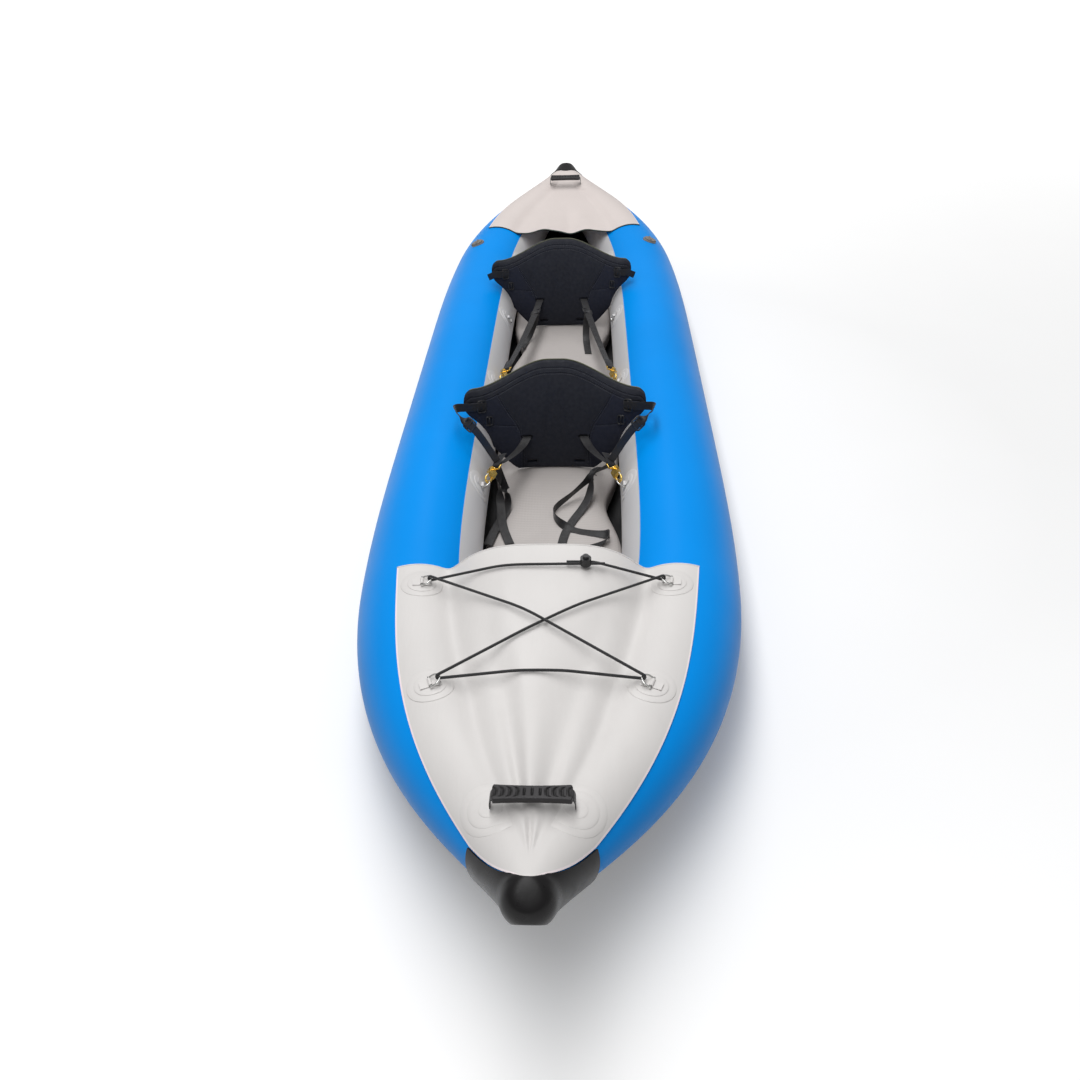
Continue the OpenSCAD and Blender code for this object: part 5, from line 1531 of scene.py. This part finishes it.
def disc(shape, u, a, off, radii, heights):
    """Round patch of stepped layers bent onto the wall: rings of equal angle, each layer's rim slightly
    rounded."""
    rho, z = [0.001], [heights[-1]]
    for r, h, below in zip(radii[::-1], heights[::-1], (*heights[-2::-1], 0.0)):
        rho += [r * 0.5 + 0.25 * rho[-1], r * 0.8, r - 0.0009, r - 0.0003, r, r]
        z += [h, h, h, h - 0.0002, h - 0.0006, below + 0.00005]
    rho, z = np.array(rho)[:, None], np.array(z)[:, None]
    phi = np.linspace(0, 2 * np.pi, 73)[:-1][None]
    local = joined(rho * np.cos(phi), rho * np.sin(phi), z)
    ring = shape.grid(on_wall(u, a, off, local), wrap=(False, True), flip=False)
    _, _, _, out = wall_frame(u, a, off)
    shape.fan(ring[0], out)
    shape.fan(ring[-1], -out)


# Each handle's distance from amidships and which way it lies; half the distance between a handle's legs;
# the height of its grip's middle over the deck
HANDLES = {"bow": (1.866, -1), "stern": (1.81, 1)}
LEG = 0.07
GRIP_HIGH = 0.033


class KAYAK_OT_handles(Operator):
    """Shapes the carry handles: anchor patches, webbing and waisted rubber grips."""

    bl_idname = "kayak.handles"
    bl_label = "Carry handles"

    def execute(self, context):
        leg = np.array([
            (LEG, 0, 0.0032), (LEG, 0, 0.012), (0.0695, 0, 0.023), (0.066, 0, 0.0305),
            (0.058, 0, GRIP_HIGH)])
        path = evened(np.concatenate([curve(leg * MIRROR, 8)[:-1], curve(leg[::-1], 8)]), 0.002)
        run = lengths(path)
        end = np.minimum(run, run[-1] - run)
        round_off = np.sqrt(np.clip(1 - (1 - np.clip(end / (WEB / 2), 0.004, 1)) ** 2, 0.01, 1))
        for kind, (y, sign) in HANDLES.items():
            foot, slope, angle = self.place(y)
            way = np.array([1, sign, 1])
            c, n = np.cos(slope), np.sin(slope)

            def seated(q, foot=foot, c=c, n=n, way=way):
                """Points of a handle turned by the deck's slope about its foot."""
                along, high = foot[1] + q[:, 1] * c - q[:, 2] * n, foot[2] + q[:, 1] * n + q[:, 2] * c
                return joined(q[:, 0], along, high) * way

            shape = Shape()
            disc(shape, station(y), angle, hull().deck_off, (0.056, 0.041, 0.021), (0.0005, 0.001, 0.0016))
            shape.mirror().moved(lambda p, way=way: p * way)
            cloth = look("patch" if kind == "bow" else "stern_patch")
            turned_out(shape, sign).build(
                f"{kind}_anchor_patches", cloth, "hull", ["handle_patches"], "patch_pvc", 50)
            shape = Shape()
            ribbon(shape, path, (0, 1, 0), (0, 1, 0), thick=0.002, taper=round_off)
            turned_out(shape.moved(seated), sign).build(
                f"{kind}_webbing", look("webbing"), f"{kind}_handle", [f"{kind}_handle_webbing"], "webbing")
            # The sunk share goes to the grip's material, which darkens the sunk hollows as painted shade.
            shape, sunk = self.grip()
            turned_out(shape.moved(seated), sign).build(
                f"{kind}_grip_rubber", look("grip"), f"{kind}_handle", [f"{kind}_handle_grip"],
                "grip_rubber", 70, {"sunk": sunk})
        return {"FINISHED"}

    @staticmethod
    def place(y):
        """Foot of a handle's leg on the deck, the deck's slope along the hull there, and the foot's angle
        round the tube."""
        u = station(y)

        def angle(u):
            """Angle at which the wall stands as far from the middle plane as a leg."""
            _, across, upward = tube_frame(np.array(u))
            b = np.hypot(across[0], upward[0])
            radius = float(tube_radius(u)) + hull().deck_off
            reach = (LEG - float(axis_point(np.array(u))[0])) / radius / b
            return np.arctan2(upward[0], across[0]) + np.arccos(reach)

        def foot(v):
            """Point of the wall at that angle."""
            return wall(v, angle(v), hull().deck_off)

        near = station(0.005)
        a, b = foot(u - near), foot(u + near)
        return foot(u), np.arctan2(b[2] - a[2], b[1] - a[1]), angle(u)

    @staticmethod
    def grip():
        """Rubber bar: a rounded box along x, waisted by a parabola, with crescents and ovals sunk in its
        top. Also gives how far each point is sunk, from 0 to 1, which darkens those hollows as painted
        shade."""
        x = np.linspace(-1, 1, 221)[:, None]
        a = np.linspace(0, 2 * np.pi, 161)[:-1][None] + 0.001
        long, wide, waist, thick, deep = 0.066, 0.017, 0.0025, 0.006, 0.0022
        end = 1 - np.clip((np.abs(x) - 0.95) / 0.05, 0, 1) ** 2 * 0.3
        px = long * x + 0 * a
        py = (wide - waist * (1 - x * x)) * end * power(np.cos(a), 0.22)
        pz = thick * end * power(np.sin(a), 0.3)
        cut = np.zeros_like(px)
        for at in (-0.013, 0.0, 0.013):
            gap = np.hypot(px - at, np.maximum(0, np.abs(py) - 0.006))
            cut = np.maximum(cut, 1 - smooth(0.0015, 0.0026, gap))
        for side in (-1, 1):
            for at in (0.03, 0.042, 0.054, 0.066):
                inside = 1 - smooth(0.0102, 0.0112, np.hypot(px - side * at, py))
                hole = smooth(0.0108, 0.0118, np.hypot(px - side * (at + 0.005), py))
                cut = np.maximum(cut, inside * hole)
        cut = cut * (pz > thick / 2)
        pz = pz - deep * cut
        shape = Shape()
        shape.capped(joined(px, py, pz + GRIP_HIGH), np.array([1.0, 0, 0]))
        return shape, np.concatenate([cut.ravel(), [0, 0]])


def turned_out(shape, sign):
    """Turns the faces round where a piece has been mirrored."""
    if sign < 0:
        shape.faces = [f[:, ::-1] for f in shape.faces]
        shape.uvs = [u[:, ::-1] for u in shape.uvs]
    return shape


class KAYAK_OT_valves(Operator):
    """Finishes the three air valves."""

    bl_idname = "kayak.valves"
    bl_label = "Air valves"

    def execute(self, context):
        for place in ("left", "right", "floor"):
            paint("valve", f"{place}_valve_body")
            paint("stem", f"{place}_valve_stem")
            paint("valve_cap", f"{place}_valve_cap")
        paint("spring", "valve_springs")
        return {"FINISHED"}


def pad_columns(count):
    """Stations across a backrest, closer together towards the wing tips."""
    s = np.linspace(-1, 1, count)
    return seats().half * (0.7 * s + 0.3 * np.sin(np.pi / 2 * s))


# Shares of a pad's height between which its swell is worked out
SWELL_SPAN = (0.02, 0.98)


def swelling(columns=71, rows=45):
    """Swell of a pad's front between its seams, from a short cloth simulation under pressure on a coarse
    pad whose back, edges and seams are pinned."""
    x = pad_columns(columns)[:, None]
    low, top = seat_outline(x)
    h = lerp(low, top, np.linspace(*SWELL_SPAN, rows)[None])
    front = joined(x, pad_front(x, h), h)
    back = joined(x, seat_wrap(x) + seats().edge, h)
    shape = Shape()
    shape.slab(front, back)
    pad = shape.build("swelling_pad", look("fabric"))
    held = np.zeros((columns, rows), bool)
    held[[0, -1]] = held[:, [0, -1]] = True
    held |= seam_depth(x, h) > 0.0009
    pins = np.concatenate([np.flatnonzero(held), columns * rows + np.arange(columns * rows)])
    pad.vertex_groups.new(name="pins").add(pins.tolist(), 1.0, "REPLACE")
    cloth = pad.modifiers.new("swell", "CLOTH")
    cloth.settings.vertex_group_mass = "pins"
    cloth.settings.quality = 6
    cloth.settings.use_pressure = True
    cloth.settings.uniform_pressure_force = 4
    cloth.settings.effector_weights.gravity = 0
    cloth.settings.tension_stiffness = cloth.settings.compression_stiffness = 20
    scene = bpy.context.scene
    for step in range(1, 21):
        scene.frame_set(step)
    shown = pad.evaluated_get(bpy.context.evaluated_depsgraph_get()).to_mesh()
    flat = np.empty(len(shown.vertices) * 3)
    shown.vertices.foreach_get("co", flat)
    move = (flat.reshape(-1, 3)[: columns * rows].reshape(columns, rows, 3) - front)[..., 1]
    mesh = pad.data
    bpy.data.objects.remove(pad)
    bpy.data.meshes.remove(mesh)
    scene.frame_set(1)
    return np.clip(move, -0.006, 0.001)


# Slots in a pad, across and up it: the front strap's and the one at the foot; the back panel's outer face
# behind the pad
SLOT, FOOT_SLOT = (0.085, 0.1), (0.072, 0.022)
PANEL_BACK = 0.0028


class KAYAK_OT_seats(Operator):
    """Pads the two backrests, with their seams, back panels, rims and buckles."""

    bl_idname = "kayak.seats"
    bl_label = "Backrests"

    def execute(self, context):
        swell = swelling()
        for which in ("front", "rear"):
            self.pad(which, swell)
            self.back(which)
            self.sewing(which)
            self.buckles(which)
        return {"FINISHED"}

    @staticmethod
    def pad(which, swell):
        """Closed pad: for each station across, a ring of points up the front, round the top edge, down the
        back and round the lower edge."""
        s, columns = seats(), 261
        x = pad_columns(columns)[:, None]
        low, top = seat_outline(x)
        r = np.minimum(s.edge / 2, (top - low) / 2 * 0.96)
        t = np.linspace(0, 1, 201)[None]
        h = lerp(low + r, top - r, t)
        puff = np.stack([np.interp(t[0], np.linspace(*SWELL_SPAN, swell.shape[1]), row) for row in swell])
        at = np.interp(np.arange(columns), np.linspace(0, columns - 1, len(puff)), np.arange(len(puff)))
        base = np.minimum(at.astype(int), len(puff) - 2)
        puff = lerp(puff[base], puff[base + 1], (at - base)[:, None])
        fade = smooth(0, 0.02, h - low) * smooth(0, 0.012, top - h)
        sewn = seam_depth(x, h) * smooth(0, 0.01, top - h) * smooth(0, 0.008, h - low)
        slots = sum(
            bell(np.maximum(0, np.abs(np.abs(x) - sx) - 0.013), 0.003) * bell(h - sh, 0.0042)
            for sx, sh in (SLOT, FOOT_SLOT))
        front = pad_front(x, h) + puff * fade + sewn + 0.012 * slots
        wrap = seat_wrap(x)
        a = np.linspace(0, np.pi, 11)[None, 1:-1]
        up = np.linspace(1, 0, 31)[None]
        ring = [
            (front, h), (wrap + s.edge / 2 * (1 - np.cos(a)), top - r + r * np.sin(a)),
            (wrap + s.edge + 0 * up, lerp(low + r, top - r, up)),
            (wrap + s.edge / 2 * (1 + np.cos(a)), low + r - r * np.sin(a))]
        y = np.concatenate([p for p, _ in ring], 1)
        z = np.concatenate([q for _, q in ring], 1)
        local = joined(x, y, z)
        shape = Shape()
        shape.capped(in_seat(which, local), np.array([1.0, 0, 0]))
        seam = np.array(SEAM)[::-1]
        inner = np.interp(z, seam[:, 1], seam[:, 0])
        wing = smooth(-0.002, 0.003, np.abs(local[..., 0]) - inner) * (top - z > BAND[1])
        wing = np.concatenate([wing.ravel(), [1, 1]])
        pad = shape.build(
            f"{which}_backrest_pad", look("fabric"), f"{which}_backrest", [f"{which}_seat_pad"],
            "seat_fabric", values={"wing": wing})

    @staticmethod
    def back(which):
        """Back panel behind the pad and the pale rim along its top edge."""
        s = seats()
        x = pad_columns(141)[:, None]
        low, top = seat_outline(x)
        h = lerp(low + 0.0005, top + 0.0025, np.linspace(0, 1, 41)[None])

        def skin(off):
            """One face: the pad's wrap moved back by off."""
            return in_seat(which, joined(x, seat_wrap(x) + s.edge + off, h))

        shape = Shape()
        shape.slab(skin(PANEL_BACK), skin(0.0003))
        shape.build(
            f"{which}_back_panel", look("back"), f"{which}_backrest", [f"{which}_seat_panel"],
            "back_panel", 40)
        x = np.linspace(-0.246, 0.246, 161)
        _, top = seat_outline(x)
        shape = Shape()
        line = joined(x, seat_wrap(x) + s.edge - 0.0005, top + 0.0018)
        rod(shape, in_seat(which, line), 0.0019, 10)
        shape.build(f"{which}_seat_rim", look("rim"), f"{which}_backrest", (), "back_panel")

    @staticmethod
    def sewing(which):
        """Stitches beside the band's two lines, the wing seams and the flap lines."""
        shape = Shape()
        x = np.linspace(-0.235, 0.235, 200)
        _, top = seat_outline(x)
        for at in BAND:
            for side in (-0.0032, 0.0032):
                h = top - at - side
                line = joined(x, pad_front(x, h) - 0.0004, h)
                stitches(shape, line, np.broadcast_to([0.0, -1.0, 0.0], line.shape))
        for points, side in ((SEAM, 0.0035), (SEAM, -0.0035), (FLAP, 0.003)):
            spot, normal = seat_line([(px + side, ph) for px, ph in points])
            spot = spot + normal * 0.0005
            for way in (np.ones(3), MIRROR):
                stitches(shape, spot * way, normal * way)
        shape.moved(lambda p: in_seat(which, p))
        shape.build(f"{which}_stitching", look("thread"), f"{which}_backrest", (), "seat_fabric")

    @staticmethod
    def buckles(which):
        """Ladder buckles on the wings: a round-cornered frame with a middle bar, a large one above and a
        small one below."""
        shape = Shape()
        for x, h, scale in ((BUCKLE_X, seats().buckle, 1.0), (0.192, 0.158, 0.74)):
            middle, d = buckle_place(x, h)
            ladder(shape, middle, d, UP, 0.0255 * scale, 0.0335 * scale, 0.0021)
        shape.mirror()
        shape.moved(lambda p: in_seat(which, p))
        shape.build(
            f"{which}_wing_buckles", look("plastic"), f"{which}_backrest", [f"{which}_seat_buckles"],
            "black_plastic")


def ladder(shape, middle, along, across, long, wide, thick):
    """Ladder buckle: a rod round a rounded rectangle, and a bar across its middle."""
    a = np.linspace(0, 2 * np.pi, 49)[:-1]
    x, y = long / 2 * power(np.cos(a), 0.4), wide / 2 * power(np.sin(a), 0.4)
    loop = middle + x[:, None] * along + y[:, None] * across
    t = unit(np.roll(loop, -1, 0) - np.roll(loop, 1, 0))
    n = unit(np.cross(along, across))
    shape.sweep(loop, np.cross(t, n), np.broadcast_to(n, loop.shape), circle(thick, 10), ends=False)
    half = across * wide * 0.47
    bar = np.stack([middle - half, middle, middle + half])
    along, n = np.broadcast_to(along, bar.shape), np.broadcast_to(n, bar.shape)
    shape.sweep(bar, along, n, circle(thick * 0.9, 10))


# Along a hook from its outer bar: where a strap's two sides lie flat, and where its bend with the backrest
# starts. Half the gap between the two sides
STRAP_FLAT, STRAP_BENDS = 0.009, 0.01
STRAP_GAP = 0.0026

# Loose ends of the rear backrest: the points each runs through, and which way its width lies at its end
REAR_TAILS = {
    "left": (
        [(-0.106, 0.585, 0.155), (-0.123, 0.57, 0.116), (-0.139, 0.545, 0.1004), (-0.149, 0.5, 0.0993)],
        (1, 0.35, 0)),
    "right": (
        [(0.094, 0.578, 0.158), (0.092, 0.562, 0.118), (0.094, 0.53, 0.1004), (0.1, 0.44, 0.0993)],
        (1, -0.1, 0)),
}


class KAYAK_OT_straps(Operator):
    """Threads the webbing between the backrests and their snap hooks."""

    bl_idname = "kayak.straps"
    bl_label = "Seat straps"

    def execute(self, context):
        for which, front_hook, rear_hook in (("front", 0, 1), ("rear", 2, 3)):
            self.front(which, front_hook)
            self.rear(which, rear_hook)
        self.tabs()
        return {"FINISHED"}

    @classmethod
    def front(cls, which, i):
        """Slot strap to the hook, round its bar, and from there to the wing buckle or back on itself."""
        out, side, bar = hook(i)
        x, h = SLOT
        at = np.array([x, float(pad_front(np.array(x), np.array(h))), h])
        inside, a = in_seat(which, at + [0, 0.006, 0.001]), in_seat(which, at + [0, -0.007, -0.001])
        n = unit(np.cross(side, out))
        low = bar + out * STRAP_FLAT - n * STRAP_GAP
        high = bar + out * STRAP_FLAT + n * STRAP_GAP
        sag = [lerp(a, low, t) + [0, 0, -down] for t, down in ((0.2, 0.012), (0.5, 0.014), (0.8, 0.008))]
        slot = curve([inside, a, *sag, low], 14)
        back = [high, high + out * 0.02 + n * 0.0006, high + out * 0.042]
        path = evened(np.concatenate([slot, round_bar(bar, out, side), back]), 0.003)
        share = np.clip(np.linspace(0, 1.25, len(path)), 0, 1)
        wing = cls.wing_line(high + n * 0.0022 + out * 0.004) if which == "front" else None
        for name, way in SIDES:
            shape = Shape()
            ribbon(shape, path, (1, 0, 0), side, share)
            if wing is not None:
                ribbon(shape, wing, UP, side)
            shape.moved(lambda p, way=way: p * way)
            shape = turned_out(shape, -1 if name == "left" else 1)
            strap = shape.build(
                f"{which}_strap_{name}", look("webbing"), None, [f"{which}_seat_{name}_strap"], "webbing")
            ends = (bar + out * STRAP_BENDS) * way, a * way
            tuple(ends[0])
            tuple(ends[1])
            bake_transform(strap)
            if wing is not None:
                cls.lock(f"wing_strap_lock_{name}", wing * way, 0.6, side * way, "front", ends)
            else:
                lock = cls.lock(f"slot_strap_lock_{name}", slot * way, 0.36, side * way, "rear", ends)
                cls.loose_end(name, lock)

    @staticmethod
    def wing_line(end):
        """Line of the front backrest's wing strap: out of its buckle, round the wing's tip, to the hook."""
        s = seats()
        middle, d = buckle_place()
        start = in_seat("front", middle - d * 0.012)
        leave = in_seat("front", middle + d * 0.02)
        swing = in_seat("front", [s.half + 0.018, -s.wrap - 0.018, s.buckle + 0.003])
        over = in_seat("front", [s.half + 0.008, -s.wrap - 0.075, s.buckle])
        halfway = lerp(over, end, 0.5) + [0, 0, 0.016]
        return evened(curve([start, leave, swing, over, halfway, end], 14), 0.003)

    @staticmethod
    def lock(name, path, share, side, which, ends):
        """Ladder lock on a strap, a share of the way along it."""
        k = int(len(path) * share)
        t = unit(path[k + 1] - path[k - 1])
        shape = Shape()
        ladder(shape, path[k], t, square_to(side, t), 0.031, 0.036, 0.0026)
        piece = shape.build(name, look("button"), None, (), "black_plastic")
        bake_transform(piece)
        return path[k]

    @staticmethod
    def loose_end(name, lock):
        """Strap end that hangs from a lock of the rear backrest down to the floor and lies on it."""
        lying, width = REAR_TAILS[name]
        leaving = [lock + [0, -0.004, 0.002], lock + [0, -0.018, -0.012]]
        path = evened(curve([*leaving, *lying], 14), 0.003)
        shape = Shape()
        ribbon(shape, path, (1, 0, 0), width)
        piece = shape.build(f"rear_tail_{name}", look("webbing"), None, (), "webbing")
        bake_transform(piece)

    @staticmethod
    def rear(which, i):
        """Strap from the back of each wing to the hook behind it, sewn flat on the panel at its start."""
        s = seats()
        out, side, bar = hook(i)
        x = s.half - 0.044
        high = s.buckle + 0.012

        def on_panel(px, lift):
            """Point lifted off the panel's back."""
            return in_seat(which, [px, float(seat_wrap(np.array(px))) + s.edge + PANEL_BACK + lift, high])

        n = unit(np.cross(side, out))
        end = bar + out * STRAP_FLAT
        a = on_panel(x, 0.006)
        sag = [lerp(a, end, 0.3) + [0, 0, -0.004], lerp(a, end, 0.7) + [0, 0, -0.008]]
        sewn = [on_panel(x + 0.026, 0.0012), on_panel(x + 0.012, 0.0014)]
        slot = curve([*sewn, a, *sag, end - n * STRAP_GAP], 14)
        back = [end + n * STRAP_GAP, end + n * 0.0032 + out * 0.03]
        path = evened(np.concatenate([slot, round_bar(bar, out, side), back]), 0.003)
        shape = Shape()
        ribbon(shape, path, UP, side, np.clip(np.linspace(-0.1, 1.2, len(path)), 0, 1))
        shape.mirror()
        strap = shape.build(
            f"{which}_rear_webbing", look("webbing"), None, [f"{which}_seat_rear_straps"], "webbing")
        ends = (bar + out * STRAP_BENDS) * MIDDLE, a * MIDDLE
        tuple(ends[0])
        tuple(ends[1])
        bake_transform(strap)

    @staticmethod
    def tabs():
        """Short strap ends that stand out of the rear backrest's wing buckles."""
        middle, d = buckle_place()
        line = [middle - d * 0.012, middle + d * 0.018, middle + d * 0.04 + [0, -0.002, 0.002],
                middle + d * 0.066 + [0.004, 0.006, -0.008]]
        path = in_seat("rear", evened(curve(line, 12), 0.002))
        shape = Shape()
        ribbon(shape, path, UP, UP)
        shape.mirror()
        shape.build("rear_wing_tabs", look("webbing"), "rear_backrest", ["rear_seat_tabs"], "webbing")


class KAYAK_OT_hooks(Operator):
    """Finishes the snap hooks, their eyes and thumb bolts."""

    bl_idname = "kayak.hooks"
    bl_label = "Snap hooks"

    def execute(self, context):
        paint("brass", "snap_hooks", "hook_eyes")
        paint("bolt", *[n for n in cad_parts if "_bolt_" in n])
        return {"FINISHED"}


class KAYAK_PT_panel(Panel):
    """Lists the pieces in the order they are built."""

    bl_label = "Kayak"
    bl_space_type = "VIEW_3D"
    bl_region_type = "UI"
    bl_category = "Kayak"

    def draw(self, context):
        for operator in OPERATORS:
            self.layout.operator(operator.bl_idname)
        for group in (context.scene.kayak_hull, context.scene.kayak_seats, context.scene.kayak_colours):
            box = self.layout.box()
            for key in group.__annotations__:
                box.prop(group, key)


OPERATORS = (
    KAYAK_OT_stage, KAYAK_OT_bungee, KAYAK_OT_tails, KAYAK_OT_tubes, KAYAK_OT_bottom, KAYAK_OT_decks,
    KAYAK_OT_caps, KAYAK_OT_rings, KAYAK_OT_handles, KAYAK_OT_valves, KAYAK_OT_seats, KAYAK_OT_straps,
    KAYAK_OT_hooks,
)
CLASSES = (KayakHull, KayakSeats, KayakColours, *OPERATORS, KAYAK_PT_panel)


def register():
    for cls in CLASSES:
        bpy.utils.register_class(cls)
    bpy.types.Scene.kayak_hull = PointerProperty(type=KayakHull)
    bpy.types.Scene.kayak_seats = PointerProperty(type=KayakSeats)
    bpy.types.Scene.kayak_colours = PointerProperty(type=KayakColours)


def unregister():
    for name in ("kayak_colours", "kayak_seats", "kayak_hull"):
        delattr(bpy.types.Scene, name)
    for cls in reversed(CLASSES):
        bpy.utils.unregister_class(cls)


def main():
    """Registers the add-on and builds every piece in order."""
    register()
    for operator in OPERATORS:
        group, name = operator.bl_idname.split(".")
        getattr(getattr(bpy.ops, group), name)()
    box = lambda pair: [[round(v, 5) for v in corner] for corner in pair]
    {"cad": box(CAD_BOX), "visual": box(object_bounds())}


if __name__ == "__main__":
    main()
